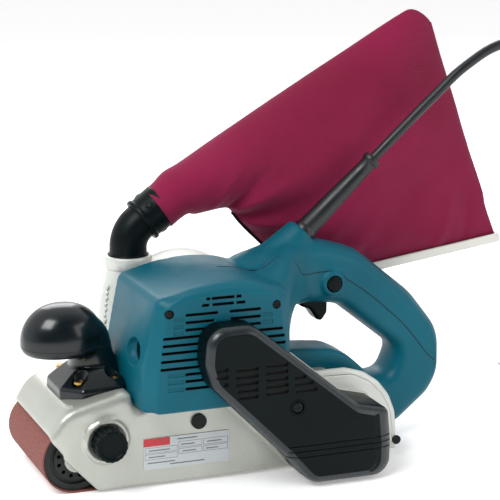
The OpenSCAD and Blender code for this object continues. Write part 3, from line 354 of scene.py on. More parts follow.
# %% The finishes of this tool
LOOKS = {"cast_frame": finish("lacquered_casting", (190, 192, 184), (178, 181, 172), (0.3, 0.42), 700,
    0.00005, 0.0016, Metallic=0.55), "cast_light": finish("light_casting", (214, 217, 212), (203, 206, 200),
    (0.34, 0.46), 700, 0.00006, 0.0012, Metallic=0.3),
    "pressed_steel": finish("ground_steel", (172, 175, 178), (150, 152, 155), (0.24, 0.36), 2400, 0.00002,
    Metallic=1.0), "cork": finish("cork_sheet", (140, 100, 66), (96, 66, 42), (0.8, 0.95), 500, 0.0003),
    "abrasive": finish("abrasive_cloth", (146, 90, 82), (118, 66, 60), (0.85, 0.98), 1500, 0.00035, 0.0004,
    700), "roller_rubber": finish("roller_rubber", (16, 22, 22), (11, 15, 16), (0.5, 0.65), 1200, 0.00005),
    "shaft_steel": finish("ground_shaft", (190, 192, 194), (170, 172, 175), (0.16, 0.28), 2600, 0.00001,
    Metallic=1.0), "gear_steel": finish("oiled_gear", (120, 120, 114), (96, 95, 88), (0.22, 0.4), 1800,
    0.00003, Metallic=1.0), "bearing_steel": finish("bearing_steel", (200, 202, 205), (182, 184, 188),
    (0.1, 0.2), 2600, 0.00001, Metallic=1.0), "belt_rubber": finish("drive_rubber", (26, 26, 27),
    (17, 17, 18), (0.6, 0.75), 1400, 0.00006), "pulley_alloy": finish("turned_alloy", (176, 178, 180),
    (160, 162, 164), (0.25, 0.35), 2600, 0.00001, Metallic=1.0),
    "lamination": finish("steel_stack", (116, 112, 106), (92, 88, 82), (0.4, 0.55), 3000, 0.00006,
    Metallic=0.9), "copper": finish("copper_bars", (196, 122, 72), (168, 98, 56), (0.25, 0.4), 2000,
    0.00002, Metallic=1.0), "winding": finish("enamelled_wire", (150, 70, 38), (110, 48, 26), (0.3, 0.45),
    1400, 0.0003, Coat_Weight=0.5), "brass": finish("brass", (196, 158, 86), (160, 122, 60), (0.22, 0.38),
    2000, 0.00002, Metallic=1.0), "carbon": finish("pressed_carbon", (36, 36, 38), (26, 26, 28), (0.6, 0.7),
    1800, 0.00004), "fan_plastic": finish("glass_filled_nylon", (30, 34, 34), (22, 25, 26), (0.5, 0.6),
    1800, 0.00004), "teal_plastic": finish("teal_nylon", (0, 94, 112), (0, 85, 102), (0.36, 0.46), 1900,
    0.000035, 0.0007, 14, Specular_IOR_Level=0.2), "black_plastic": finish("black_nylon", (3, 13, 15),
    (6, 16, 18), (0.32, 0.42), 1900, 0.00004, 0.0009, 22, Specular_IOR_Level=0.11),
    "grip_plastic": finish("glossy_phenolic", (4, 14, 18), (8, 18, 22), (0.2, 0.28), 900, 0.000012, 0.0006,
    20, Specular_IOR_Level=0.35, Coat_Weight=0.25, Coat_Roughness=0.12),
    "screw_black": finish("black_oxide", (16, 19, 20), (11, 13, 14), (0.32, 0.45), 2200, 0.00003, 0.0003,
    Metallic=0.6), "plate_label": finish("printed_foil", (196, 201, 203), (186, 191, 193), (0.3, 0.4), 2600,
    0.00001, 0.0002, Metallic=0.3), "bag_cloth": finish("burgundy_cloth", (134, 26, 66), (118, 20, 54),
    (0.74, 0.88), 900, 0.00016, 0.0008, 9, weave=1500, Specular_IOR_Level=0.15, Sheen_Weight=0.08,
    Sheen_Roughness=0.5), "rail_plastic": finish("white_plastic", (226, 226, 218), (214, 214, 206),
    (0.36, 0.46), 1900, 0.00003, 0.0008), "cord_rubber": finish("cord_rubber", (20, 26, 30), (15, 20, 23),
    (0.3, 0.42), 1700, 0.00004, 0.0005), "plug_metal": finish("nickel_plate", (205, 207, 210),
    (190, 192, 195), (0.12, 0.22), 2600, 0.00001, Metallic=1.0), }
# Near-black material for painted shade on the walls of cut vents, wells and louvres, also used for the grip's
# dark parting line.
shade_and_seam_dark = finish("vent_shadow", (10, 13, 14), (6, 8, 9), (0.7, 0.8), 1500, 0.00002, 0.0001)
seam_dark = finish("parting_line", (1, 26, 33), (1, 20, 26), (0.6, 0.7), 1500, 0.00001, 0.0001)
red_ink = finish("red_ink", (196, 52, 62), (188, 46, 56), (0.35, 0.45), 2600, 0.00001, 0.0001)
grey_ink = finish("grey_ink", (112, 118, 122), (100, 106, 110), (0.4, 0.5), 2600, 0.00001, 0.0001)
print("finishes", len(LOOKS))


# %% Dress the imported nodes
for part in frame["record"]["subparts"]:
    shown = frame["nodes"][part["node"]]
    for place in shown.material_slots:
        place.link = "OBJECT"
        place.material = LOOKS[part["material_slot"]]


def dress(piece, look, body=None, replaces=()):
    """Gives a piece its finish, and says which body it rides on and which nodes it stands for."""
    piece.data.materials.clear()
    piece.data.materials.append(LOOKS[look])
    if body:
        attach(piece, body)
    if replaces:
        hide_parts(*replaces)
    return piece


# %% [markdown]
# ## The mains cord
# A rubber-sheathed cord, 8 mm thick and 5 m long, leaves the handle through a tapered strain
# relief, rises, bends over and comes down behind the tool. What isn't needed is wound into a
# round coil, four turns wide and four high, held by a tie, with the plug beside it. One smooth
# curve follows the whole route, so that its length can be measured.

# %% Route of the cord
CORD_D = 8.0
COIL = (380.0, 10.0)
guard_axis = Vector((math.cos(math.radians(42.7)), 0, math.sin(math.radians(42.7))))
guard_base = Vector((88, 0, 172))
guard_end = guard_base + guard_axis * 90
free_run = [guard_end - guard_axis * 6, Vector((176, 0, 253)), Vector((205, 0, 279)), Vector((235, 0, 304)),
            Vector((268, 0, 320)), Vector((302, 0, 320)), Vector((330, 0, 298)), Vector((345, 0, 260)),
            Vector((352, 0, 210)), Vector((355, 0, 160)), Vector((356, -3, 110)), Vector((358, -12, 70)),
            Vector((364, -26, 42)), Vector((380, -38, 31))]
layers = [28.8, 20.6, 12.4, 4.2]
places = [(r, layers[k]) for k in range(4) for r in ((50.4, 42.2, 34.0) if k == 0 else
          (34.0, 42.2, 50.4, 58.4) if k % 2 else (58.4, 50.4, 42.2, 34.0))]
turns = []
for k, (r, z) in enumerate(places):
    r2, z2 = places[min(k + 1, len(places) - 1)]
    for i in range(20):
        u = max(0, (i / 20 - 0.7) / 0.3)
        u = u * u * (3 - 2 * u)
        a = math.radians(-68 + 18 * i)
        turns.append(Vector((COIL[0] + (r + (r2 - r) * u) * math.cos(a),
            COIL[1] + (r + (r2 - r) * u) * math.sin(a), z + (z2 - z) * u)))
tail = [Vector((COIL[0] + 58.4 * math.cos(math.radians(a)), COIL[1] + 58.4 * math.sin(math.radians(a)), 4.2))
        for a in (-68, -50, -32, -14)]
tail += [Vector((440.5, 32, 4.8)), Vector((438.5, 58, 7)), Vector((432, 79, 10.5)), Vector((424, 91, 13.2)),
    Vector((412, 94, 14)), Vector((396, 94, 14))]
print("turns in the coil", len(places), "points", len(free_run) + len(turns) + len(tail))

# %% One curve for the cord
def curve_through(name, points, radius, resolution=6):
    """A round cord along points in mm, smooth at each of them."""
    data = bpy.data.curves.new(name, "CURVE")
    data.dimensions = "3D"
    data.bevel_depth = radius / 1000
    data.bevel_resolution = 5
    data.resolution_u = resolution
    data.use_fill_caps = True
    line = data.splines.new("BEZIER")
    line.bezier_points.add(len(points) - 1)
    for place, p in zip(line.bezier_points, points):
        place.co = Vector(p) / 1000
        place.handle_left_type = place.handle_right_type = "AUTO"
    return new_object(name, data)


cord = curve_through("mains_cord", free_run + turns + tail, CORD_D / 2)
print("cord length, metres:", round(sum((a - b).length
    for a, b in zip(free_run + turns + tail, (free_run + turns + tail)[1:])) / 1000, 2))

# %% [markdown]
# The strain relief is a rubber sleeve that thins towards its lip, so that the cord bends
# gradually. It is turned like lathe work from one profile. The plug is a rounded block with a
# ribbed sleeve and two round pins, and a strap holds the coil.

# %% Strain relief, plug and tie
sleeve = soften(turned("cord_sleeve", [(-14, 9.4), (8, 9.4), (9.6, 9.2), (10.4, 8.6), (11.2, 8.4),
    (40, 7.7), (70, 6.6), (82.6, 6.1), (83.4, 6.9), (84.2, 7.6), (86.8, 7.7), (88, 7.2), (88.6, 6.2),
    (88.8, 4.7), (86, 4.2)], guard_base, guard_axis), 50)
PLUG = Vector((370, 94, 14))
body = [(-18, -11, 7), (22, -12, 8), (22, 12, 8), (-18, 11, 7)]
plug_rings = []
for z, d in ((-13.8, 4), (-12.6, 1.6), (-9.5, 0), (-1, -1.2), (9.5, 0), (12.4, 1.6), (13.8, 4)):
    plug_rings.append([Vector((PLUG.x + p.x, PLUG.y + p.y, PLUG.z + z)) / 1000
        for p in rounded(inset(body, d))])
plug = soften(loft("plug_body", plug_rings), 40)
plug_sleeve = soften(turned("plug_sleeve", [(18, 8.4),
    (24, 8.2)] + [(24 + 2 * i, 7.6 - 0.35 * i + (0.7 if i % 2 else 0)) for i in range(9)] + [(42, 5)], PLUG,
    (1, 0, 0)), 60)
pins = gather("plug_contacts", [turned("pin", [(14, 2.4), (34, 2.4), (36, 1.9), (37, 0.9)],
                                       PLUG + Vector((0, s * 7.6, 0)), (-1, 0, 0), 24) for s in (-1, 1)])
soften(pins, 40)
tie_line = [(COIL[0] - 64.5, -0.3, 2), (COIL[0] - 64.5, 34.2, 6), (COIL[0] - 27.8, 34.2, 6),
    (COIL[0] - 27.8, -0.3, 2)]
tie_line = [(x, max(z, 0.2), r) for x, z, r in tie_line]
tie = slab("coil_strap", tie_line, COIL[1] - 6, COIL[1] + 6, 0.8)
carve(tie, slab("tool", inset(tie_line, 1.2), COIL[1] - 9, COIL[1] + 9, 0.1))
soften(tie, 40)
dress(sleeve, "cord_rubber", "machine", ["cord_guard"])
dress(plug, "cord_rubber", "machine", ["plug"])
dress(plug_sleeve, "cord_rubber", "machine")
dress(pins, "plug_metal", "machine", ["plug_pins"])
dress(tie, "black_plastic", "machine", ["coil_tie"])
dress(cord, "cord_rubber", "machine", ["cord", "cord_coil"])
print("sleeve faces", len(sleeve.data.polygons))

# %% [markdown]
# ## The teal moulding
# The motor housing, the shoulder and the D-handle look like one smooth piece. The housing is
# lofted from the outline of its vented end face out to its full body, which gives the wide
# bevel round the face. The handle is a slab whose rim is rounded almost to its middle, with the
# finger opening taken out the same way. A chain of ovals makes the shoulder between them. One
# even skin is then drawn over everything, and only the shoulder and the handle are smoothed
# further, so the end face stays crisp.

# %% Outlines of the housing and the handle
end_face = [(-58.3, 64.5, 2), (-59.5, 80, 20), (-55, 118, 60), (-50, 146, 9), (-38, 153, 14), (0, 156.5, 60),
            (34, 152, 10), (40.5, 142, 8), (47, 104.7, 10), (50, 90, 4), (50, 64.5, 2)]
crown = [(-67, 64.5, 2), (-67, 96, 40), (-56.4, 150.8, 8), (-28, 158.2, 60), (-2.7, 161.4, 80),
    (22, 159.4, 60), (52, 150, 6), (52, 64.5, 2)]
handle_line = [(30, 84, 4), (26, 158, 16), (74, 172, 30), (100, 172, 30), (136, 161, 40), (186, 121, 60),
    (212, 88, 34), (213, 51, 34), (203, 34, 26), (173, 9.5, 18), (143, 8, 2), (133, 60, 4), (96, 74, 6)]
opening_line = [(71, 116.5, 6), (96, 119.5, 8), (120, 116, 12), (171, 76, 9), (163, 56, 9), (146, 55, 10),
                (110, 82, 16), (73, 87, 6), (67, 100, 6)]


def by_angle(line, middle, count):
    """Samples a closed line at even angles round a middle point, so that two outlines can be mixed."""
    middle, out = Vector(middle), []
    for k in range(count):
        way = Vector((math.cos(2 * math.pi * k / count), math.sin(2 * math.pi * k / count)))
        best = 0
        for i in range(len(line)):
            a, e = line[i - 1] - middle, line[i] - line[i - 1]
            low = way.x * e.y - way.y * e.x
            if abs(low) < 1e-9:
                continue
            t = (a.x * e.y - a.y * e.x) / low
            s = (a.x * way.y - a.y * way.x) / low
            if t > best and -1e-6 <= s <= 1 + 1e-6:
                best = t
        out.append(middle + way * best)
    return out


face_points = by_angle(rounded(end_face), (-6, 112), 220)
crown_points = by_angle(rounded(crown), (-6, 112), 220)
print("outline points", len(face_points))

# %% Housing, handle and shoulder as rough forms
def mixed(t, shrink=0.0):
    middle = Vector((-6, 112))
    line = [a.lerp(b, t) for a, b in zip(face_points, crown_points)]
    return [p - (p - middle).normalized() * shrink for p in line]


housing = loft("housing_form", along([(-82, mixed(0, 1.0)), (-81.6, mixed(0, 0.3)), (-81.1, mixed(0)),
    (-74.6, mixed(0.9)), (-73, mixed(0.97)), (-69, mixed(1)), (18, mixed(1))]))
half = 20.0
rows = []
for d in (0, 0.25, 1, 2.2, 3.8, 6, 9, 13):
    y = half * math.sqrt(max(0, 1 - (1 - d / 13) ** 2))
    rows.append((-y, rounded(inset(handle_line, d))))
rows = rows[::-1] + [(-y, line) for y, line in rows[1:]]
handle = loft("handle_form", along(rows))
rows = []
for d in (0, 0.3, 1.2, 2.6, 4.6, 7.2, 10):
    y = half * math.sqrt(max(0, 1 - (1 - d / 10) ** 2))
    rows.append((y, rounded(inset(opening_line, -d))))
rows.append((60, rows[-1][1]))
rows = [(-y, line) for y, line in rows[::-1]] + rows[1:]
opening = loft("opening_form", along(rows))
shoulder_rings = []
for x, y, hy, z, hz in ((30, -30, 42, 108, 44), (50, -28, 40, 114, 43), (60, -21, 34, 124, 41),
        (72, -11, 27.5, 136, 35),
                        (86, -4, 22, 143, 28.5), (100, 0, 20, 146, 24), (114, 0, 18, 145, 20)):
    ring = []
    for k in range(64):
        a = 2 * math.pi * k / 64
        c, s = math.cos(a), math.sin(a)
        ring.append(Vector((x, y + hy * math.copysign(abs(c) ** 0.75, c),
            z + hz * math.copysign(abs(s) ** 0.75, s))) / 1000)
    shoulder_rings.append(ring)
shoulder = loft("shoulder_form", shoulder_rings)
boss = turned("boss_form", [(-40, 19), (-14, 16), (3, 13.6), (6, 12.8), (6.2, 0.5)], guard_base, guard_axis)
lock_boss = turned("lock_form", [(0, 12.5), (16, 11.5), (21.5, 10.4), (23.4, 9.6), (23.5, 0.5)],
    (110.7, 0, 137), (0, -1, 0))
print("forms", len(handle.data.polygons), len(shoulder.data.polygons))

# %% One skin over the moulding
moulding = gather("teal_moulding", [handle, shoulder])
skin(moulding, 0.0016, 4)
carve(moulding, opening)
shelf = slab("shelf_form", [(50, 66, 2), (50, 93.5, 4), (70, 91.6, 10), (88, 90, 20), (104, 88.4, 18),
    (116, 82.4, 18), (125, 74.6, 14), (134, 66, 6), (130, 62, 2), (96, 66, 2)], -42, -6, 3.5)
moulding = gather("shelf_form", [moulding, shelf])
moulding = gather("teal_moulding", [moulding, boss, lock_boss, housing])
skin(moulding, 0.0013, 2)
skin(moulding, 0.0013, 14, lambda p: p.x > 0.046 and not (p.y < -0.0195
    and (p.x - 0.1107) ** 2 + (p.z - 0.137) ** 2 < 0.00015)
    and (p - (guard_base + guard_axis * 2) / 1000).length > 0.017)
print("faces in the skin", len(moulding.data.polygons))

# %% [markdown]
# The vents are slots in the end face, in rows one finger apart. Some rows end in shallow blind
# panels. A cut takes its own dark material with it as painted shade, so the slots look deep. The front flank
# has an oval dish for the brush cap, and the handle has a window for the trigger and a hole for the
# lock button.

# %% Vents, dish and windows
dress(moulding, "teal_plastic", "machine", ["motor_housing", "handle_left", "handle_right"])
heights = {1: 150.6, 2: 145.8, 3: 139.5, 4: 133.8, 5: 128.2, 6: 122.8, 7: 117.1, 8: 111.5, 9: 105.2, 10: 99.3,
           11: 94.1, 12: 88.7, 13: 82.9}
slots = [(1, -19.6, -16.6), (1, -15.4, 2.7), (1, 4.2, 8.2), (2, -22.9, -17.4), (2, -14.8, 2.2),
    (2, 4.2, 11.3), (3, -35.8, -10.5), (3, -1.1, 23.7), (4, -35.8, -13.5), (4, -0.2, 23.7),
    (5, -35.8, -20.4), (5, 9.6, 23.8), (6, -53.1, -22), (6, 15.8, 41.9), (7, -53.5, -22), (7, 22.8, 43.4),
    (8, -54.3, -22), (8, 30.3, 44.3), (9, -54.9, -22), (10, -55.4, -22), (11, -35.8, -19), (12, -35.7, -16),
    (13, -35.7, -13)]
blind = [(3.5, -45, -37.2), (4.5, -45, -37.2), (5.4, -45, -37.2), (3.9, 25, 33.2), (4.9, 25, 33.7),
    (11, -49.6, -36.6), (12, -49.6, -36.6), (13, -49.6, -36.6)]
deep = gather("tool", [brick((x0, -90, heights[k] - 1.05), (x1, -77, heights[k] + 1.05))
    for k, x0, x1 in slots])
# The slot walls take the dark material: painted shade inside the vents.
deep.data.materials.append(shade_and_seam_dark)
carve(moulding, deep)
row_at = lambda k: heights[int(k)] + (heights[min(13, int(k) + 1)] - heights[int(k)]) * (k - int(k))
carve(moulding, gather("tool", [brick((x0, -90, row_at(k) - 1.4), (x1, -81.45, row_at(k) + 1.4))
    for k, x0, x1 in blind]))
dish = loft("tool", [[Vector((x, -48 + (15.2 - g) * math.cos(2 * math.pi * k / 48),
    105.6 + (11 - g) * math.sin(2 * math.pi * k / 48))) / 1000 for k in range(48)]
    for x, g in ((-75, 0), (-64, 0.3), (-60.5, 1.2), (-59.2, 2.4), (-58.7, 4.5))])
carve(moulding, dish)
wells = gather("tool", [turned("well", [(-1, 3.4), (2.6, 3.4)], (x, -82, z), (0, 1, 0), 32)
    for x, z in ((-48.3, 141.1), (36.7, 141.6))])
# The screw wells take the same dark material: painted shade.
wells.data.materials.append(shade_and_seam_dark)
carve(moulding, wells)
carve(moulding, brick((87.4, -9.6, 96), (112.2, 9.6, 124)), brick((84, -9.6, 123), (114, 9.6, 134)),
      turned("tool", [(-30, 6.9), (-8, 6.9)], (110.7, 0, 137), (0, 1, 0), 48))
soften(moulding, 42)
print("moulding faces", len(moulding.data.polygons))

# %% [markdown]
# Two black oxide screws with cross slots hold the end of the housing. Each head is turned from
# one profile, and two thin bars are cut out of it for the slots.

# %% Screws in the wells
screw_heads = []
for x, z in ((-48.3, 141.1), (36.7, 141.6)):
    head = turned("head", [(0, 2.9), (0.5, 2.9), (1.1, 2.5), (1.3, 0.4)], (x, -80.2, z), (0, -1, 0), 32)
    carve(head, brick((x - 2, -83, z - 0.35), (x + 2, -80.9, z + 0.35)),
        brick((x - 0.35, -83, z - 2), (x + 0.35, -80.9, z + 2)))
    screw_heads.append(head)
screw_heads = soften(gather("housing_screw_heads", screw_heads), 30)
dress(screw_heads, "screw_black", "machine", ["housing_screws"])
print("screw heads", len(screw_heads.data.polygons))

# %% [markdown]
# ## The drive cover
# The black cover over the drive is a deep pressing with one broad rounded rim. Its rim is wider
# where it turns the rear corner, so its edges get weights. The louvres are cut in four columns,
# and three thin grooves run across the lower part and round the corner: the tool that cuts them
# is a thin slab with a slightly smaller cover taken out of it.

# %% Drive cover
cover_line = [(-27.2, 104, 24), (-25, 132.5, 22), (10, 133, 18), (97, 62.5, 14), (123.65, 56, 6),
    (126.45, 30, 20), (126.15, 2.5, 14), (60, 2.5, 16), (38, 27.5, 12), (-22, 87.5, 18)]
cover_weights = [1, 1, 1, 1.1, 2.6, 2.6, 1.2, 1, 1, 1]


def inset_rim(corners, out):
    """The corners moved outwards, as a list of corners again."""
    return [(*p[:2], r + out) for p, (_, _, r) in zip(inset(corners, -out), corners)]


def cover_form(name, less=0.0):
    rows = [(-82.05, 0), (-96.5, 0), (-99.0, 0.3), (-101.0, 1.1), (-102.7, 2.4), (-103.9, 3.9),
        (-104.6, 5.4), (-104.75, 5.6), (-105, 5.9)]
    return loft(name, along([(y + less, rounded(inset(inset(cover_line, less), d, cover_weights)))
        for y, d in rows]))


cover = cover_form("drive_cover")
skirt_line = [(54.5, 96.2, 3), (97, 62.5, 18), (123.65, 56, 6), (126.45, 30, 20), (126.15, 2.5, 14),
    (60, 2.5, 8), (54.5, 9.2, 3)]
skirt = slab("skirt", skirt_line, -82.5, -58.05, 0.5)
bulge = turned("bulge", [(0, 20.4), (22.6, 20.4), (23.8, 19.2)], (111.65, -58.05, 26), (0, -1, 0), 64)
dress(cover, "black_plastic", "machine", ["belt_cover"])
louvres = [(-19.5, -10.5, 101.7), (-19.5, -10.5, 96.1), (-14.3, -10.5, 90.2), (-4.5, 13.3, 100.6),
    (-4.5, 13.3, 95.2), (-4.5, 13.4, 89.8), (-3.4, 13.4, 84.4), (-2.4, 13.5, 79), (19.2, 37.3, 101.4),
    (19.3, 37.4, 96.1), (19.4, 37.4, 90.8), (19.4, 37.5, 85.5), (19.5, 37.6, 80.2), (42.5, 51.7, 90.3),
    (42.6, 57.9, 85.1), (43.7, 61.1, 79.7)]
tool = gather("tool", [brick((x0, -110, z - 1.5), (x1, -102.6, z + 1.5)) for x0, x1, z in louvres])
# The louvre walls take the dark material: painted shade.
tool.data.materials.append(shade_and_seam_dark)
carve(cover, tool)
for z in (35.5, 31.1, 26.5):
    tool = brick((39, -112, z - 0.45), (140, -83, z + 0.45))
    carve(tool, cover_form("tool", 0.7))
    carve(cover, tool)
carve(cover, turned("tool", [(-1, 6.2), (2.2, 6.2)], (45.5, -105, 66.5), (0, 1, 0), 48))
soften(cover, 24)
# The bevel ring gets a second material. Its lighter base colour is a painted highlight along the rim, and it is
# also glossier than the face.
cover.data.materials.append(finish("rim_painted_highlight", (14, 24, 28), (26, 37, 41), (0.24, 0.36), 1900, 0.00003,
    0.0006, 30))
for face in cover.data.polygons:
    if -0.10485 < face.center.y < -0.0985 and face.material_index == 0 and -0.96 < face.normal.y < -0.2:
        face.material_index = len(cover.data.materials) - 1
side_skirt = soften(gather("cover_skirt", [skirt, bulge]), 30)
dress(side_skirt, "black_plastic", "machine")
collar_ring = soften(turned("cover_screw_ring", [(-2.2, 6.1), (0.25, 6.1), (0.6, 5.7), (0.6, 5.0),
    (-1.2, 4.6), (-1.2, 0.4)], (45.5, -105, 66.5), (0, -1, 0), 48), 30)
dress(collar_ring, "black_plastic", "machine")
cover_screw = turned("cover_screw_head", [(-1.2, 4.2), (-0.3, 4.2), (0.3, 3.5), (0.5, 0.4)],
    (45.5, -105, 66.5), (0, -1, 0), 40)
carve(cover_screw, brick((42.3, -107, 66.1), (48.7, -104.9, 66.9)),
    brick((45.1, -107, 63.3), (45.9, -104.9, 69.7)))
soften(cover_screw, 30)
dress(cover_screw, "screw_black", "machine", ["cover_screw"])
print("cover faces", len(cover.data.polygons))

# %% [markdown]
# ## The casting and the rear guard
# The lower casting is one rounded shell: its deck rolls over into the sides with a broad radius
# that catches the light. A copy of its plain form is wrapped in an even skin, and the skin is
# relaxed only near the outer top edges, so that bores and seats stay crisp. The rear guard is a
# smooth crescent round the drive roller, and a thin cast lip borders the drive cover.

# %% Casting
casting = new_object("main_casting", frame["nodes"]["frame"].data.copy())
skin(casting, 0.00135, 1)


def near_edge(p):
    """Is p in the band where the deck rolls over into the sides or the nose?"""
    by_the_dial = abs(p.x + 0.0902) < 0.016 and abs(p.z - 0.041) < 0.016
    return (p.z > 0.048 and (p.x < -0.058 or p.z > 0.0745) and not by_the_dial) or (p.x < -0.112
        and p.z > 0.03)


work = bmesh.new()
work.from_mesh(casting.data)
rolled = [v for v in work.verts if near_edge(v.co)]
for _ in range(46):
    bmesh.ops.smooth_vert(work, verts=rolled, factor=0.5, use_axis_x=True, use_axis_y=True, use_axis_z=True)
work.to_mesh(casting.data)
work.free()
soften(casting, 40)
dress(casting, "cast_frame", "machine", ["frame"])
print("casting faces", len(casting.data.polygons))

# %% [markdown]
# The spring pushes the front roller's carrier out. Its packed form is right, so it is copied
# and given smooth shading.

# %% Spring behind the front roller
spring = new_object("carrier_spring", frame["nodes"]["tension_spring"].data.copy())
soften(spring, 50)
slot_of = {part["node"]: part["material_slot"] for part in frame["record"]["subparts"]}
dress(spring, slot_of["tension_spring"], "machine", ["tension_spring"])
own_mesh(spring)

# %% [markdown]
# The guard is a plate on the near side with a soft rim and a ridge inside it, joined to a
# curved shell that follows the belt. All three come from rounded outlines, so their curves have
# no flats. The lip is the cover's own outline, moved out by little more than a millimetre.

# %% Rear guard and lip
guard_line = [(78, 6, 1), (78, 77.6, 3), (106, 77.8, 16), (122, 73, 18), (135, 64, 20), (144.5, 52, 24),
    (150, 38, 24), (151.8, 22, 20), (152.2, 6, 2)]
guard_plate = slab("guard_plate", guard_line, -58.45, -52, 3.2)
hub = Vector((111.65, 26))
turn = [math.radians(a) for a in range(-14, 118, 3)]
arc = [hub + 35 * Vector((math.cos(a), math.sin(a))) for a in turn]
arc += [hub + 31 * Vector((math.cos(a), math.sin(a))) for a in reversed(turn)]
guard_shell = loft("guard_shell", along([(-53, arc), (51.6, arc),
    (52, [hub + (p - hub) * 0.995 for p in arc])]))
ridge = slab("guard_ridge", [(p[0] - 1.2, p[1] + 0.6, p[2])
    for p in [(84, 73, 2), (112, 72.4, 16), (127.1, 65, 18), (138.3, 54, 20), (145.6, 40.5, 22),
    (148.4, 23, 18), (148.4, 10, 2), (84, 10, 2)]], -59.9, -57.5, 1.6)
guard = soften(gather("rear_guard_casting", [guard_plate, guard_shell, ridge]), 35)
dress(guard, "cast_light", "machine", ["rear_guard"])
guard_screw = soften(turned("guard_screw", [(-2, 1.9), (1.2, 1.9), (1.9, 1.5), (2.1, 0.3)],
    (151.15, -56.4, 14), (0, -1, 0), 28), 35)
dress(guard_screw, "screw_black", "machine")
lip = slab("cover_lip", inset_rim(cover_line, 1.4), -61.5, -57.9, 0.8)
soften(lip, 35)
dress(lip, "cast_frame", "machine")
print("guard faces", len(guard.data.polygons))

# %% [markdown]
# ## Fan case, nozzle and elbow
# Behind the motor the dust fan turns in a light cast drum, and a tapered column leads up from it
# to the rim of the nozzle. The elbow is a plain black tube of one radius, bent through 54
# degrees, and the bag's collar with its two lips snaps over its end.

# %% Fan case and nozzle
DUCT = Vector((-39, 45, 0))


def drum_line(radius):
    low = math.degrees(math.asin((64.6 - 105) / radius))
    angles = [low + (180 - 2 * low) * k / 90 for k in range(91)]
    return [Vector((6 + radius * math.cos(math.radians(a)), 105 + radius * math.sin(math.radians(a))))
        for a in angles]


drum = loft("fan_drum", along([(18.2, drum_line(53)), (50.5, drum_line(53)), (52.6, drum_line(52.6)),
    (54.1, drum_line(51.4)), (54.8, drum_line(49.6))]))
throat = slab("throat", [(-55, 64.6, 3), (-55, 112, 14), (-8, 112, 6), (-8, 64.6, 3)], 18.2, 54.8, 3)
column = turned("nozzle", [(64.6, 24.4), (100, 24.8), (112, 24.2), (125, 22), (137, 19.4), (145.4, 17.4),
    (147.2, 17.3), (148, 17.8), (148.4, 18.6), (149.2, 18.9), (156.8, 18.9), (157.7, 18.5), (158, 17.8),
    (158, 16.2), (157.4, 15.3), (150, 15.1), (133, 15.1), (133, 0.4)], DUCT, (0, 0, 1), 80)
case = gather("dust_case", [drum, throat, column])
dress(case, "cast_light", "machine", ["fan_case"])
carve(case, brick((-100, -5, 55), (100, 18.15, 144)))
ribs = []
for k in range(9):
    z = 99 + 4.4 * k
    a = math.radians(-157 - 0.4 * k)
    r = 24.6 - 0.155 * max(0, z - 108)
    here = DUCT + Vector((r * math.cos(a), r * math.sin(a), z))
    ribs.append(turned("rib", [(-1.2, 2.5), (0.7, 2.1), (1.3, 1.4), (1.5, 0.2)], here,
        (math.cos(a), math.sin(a), 0.1), 4 if k % 2 else 14))
ribs = dress(soften(gather("nozzle_studs", ribs), 30), "cast_light", "machine")
soften(case, 35)
print("case faces", len(case.data.polygons))

# %% [markdown]
# Rings that stay square to a bent path make a tube of even bore. The collar is turned about the
# outlet's axis, and its four small tabs are where it snaps on.

# %% Elbow and collar
tilt = math.radians(35.8)
outlet = Vector((math.cos(tilt), 0, math.sin(tilt)))
corner = DUCT + Vector((0, 0, 176.3))
BEND = 24.0
reach = BEND * math.tan((math.pi / 2 - tilt) / 2)


def elbow_rings(radius, start, end):
    rings, steps = [], 18
    path = [(corner - Vector((0, 0, corner.z - z)), Vector((0, 0, 1)))
        for z in (start, 150, 158, corner.z - reach - 2)]
    hub = corner + Vector((BEND, 0, -reach))
    for k in range(steps + 1):
        a = (math.pi / 2 - tilt) * k / steps
        path.append((hub + BEND * Vector((-math.cos(a), 0, math.sin(a))),
            Vector((math.sin(a), 0, math.cos(a)))))
    path += [(corner + outlet * d, outlet) for d in (reach + 2, end)]
    for place, way in path:
        side = Vector((0, 1, 0))
        over = way.cross(side)
        rings.append([(place + radius * (math.cos(t) * side + math.sin(t) * over)) / 1000
                      for t in [2 * math.pi * k / 64 for k in range(64)]])
    return rings


elbow = loft("dust_elbow", elbow_rings(14.9, 134, 27) + elbow_rings(12.5, 134, 27)[::-1], loop=True)
elbow_lip = turned("lip", [(158.1, 15), (158.1, 16.0), (158.5, 16.3), (159.3, 15.9), (159.6, 14.9)], DUCT,
    (0, 0, 1), 64)
elbow = soften(gather("dust_elbow", [elbow, elbow_lip]), 40)
dress(elbow, "black_plastic", "elbow", ["elbow"])
collar = turned("bag_neck_ring", [(13.5, 15.1), (13.5, 17.4), (13.9, 18.0), (14.6, 18.3), (16.6, 18.3),
    (17.2, 17.9), (17.6, 17.0), (22, 17.2), (32, 17.7), (34.4, 17.9), (35.4, 17.6), (35.8, 16.8),
    (35.9, 14)], corner, outlet, 80)
tabs = []
for a in (-100, -20, 60, 140):
    t = math.radians(a)
    side, over = Vector((0, 1, 0)), outlet.cross(Vector((0, 1, 0)))
    way = math.cos(t) * side + math.sin(t) * over
    tabs.append(turned("tab", [(-1.5, 3.6), (0.5, 3.3), (0.9, 2.6)], corner + outlet * 24.5 + way * 17.1,
        way, 4))
collar = soften(gather("bag_neck_ring", [collar] + tabs), 32)
dress(collar, "black_plastic", "bag", ["bag_collar"])
print("elbow faces", len(elbow.data.polygons))

# %% [markdown]
# ## The front grip
# The palm grip is a glossy knob like a flattened pear. It leans forward over the nose, its neck
# runs down behind into an eight-sided foot, and a groove near its lower rim shows where its two
# shells meet. Ovals stacked from the foot up to the crown give the form, a skin joins them, and
# two tapered pockets in the foot hold brass screws.

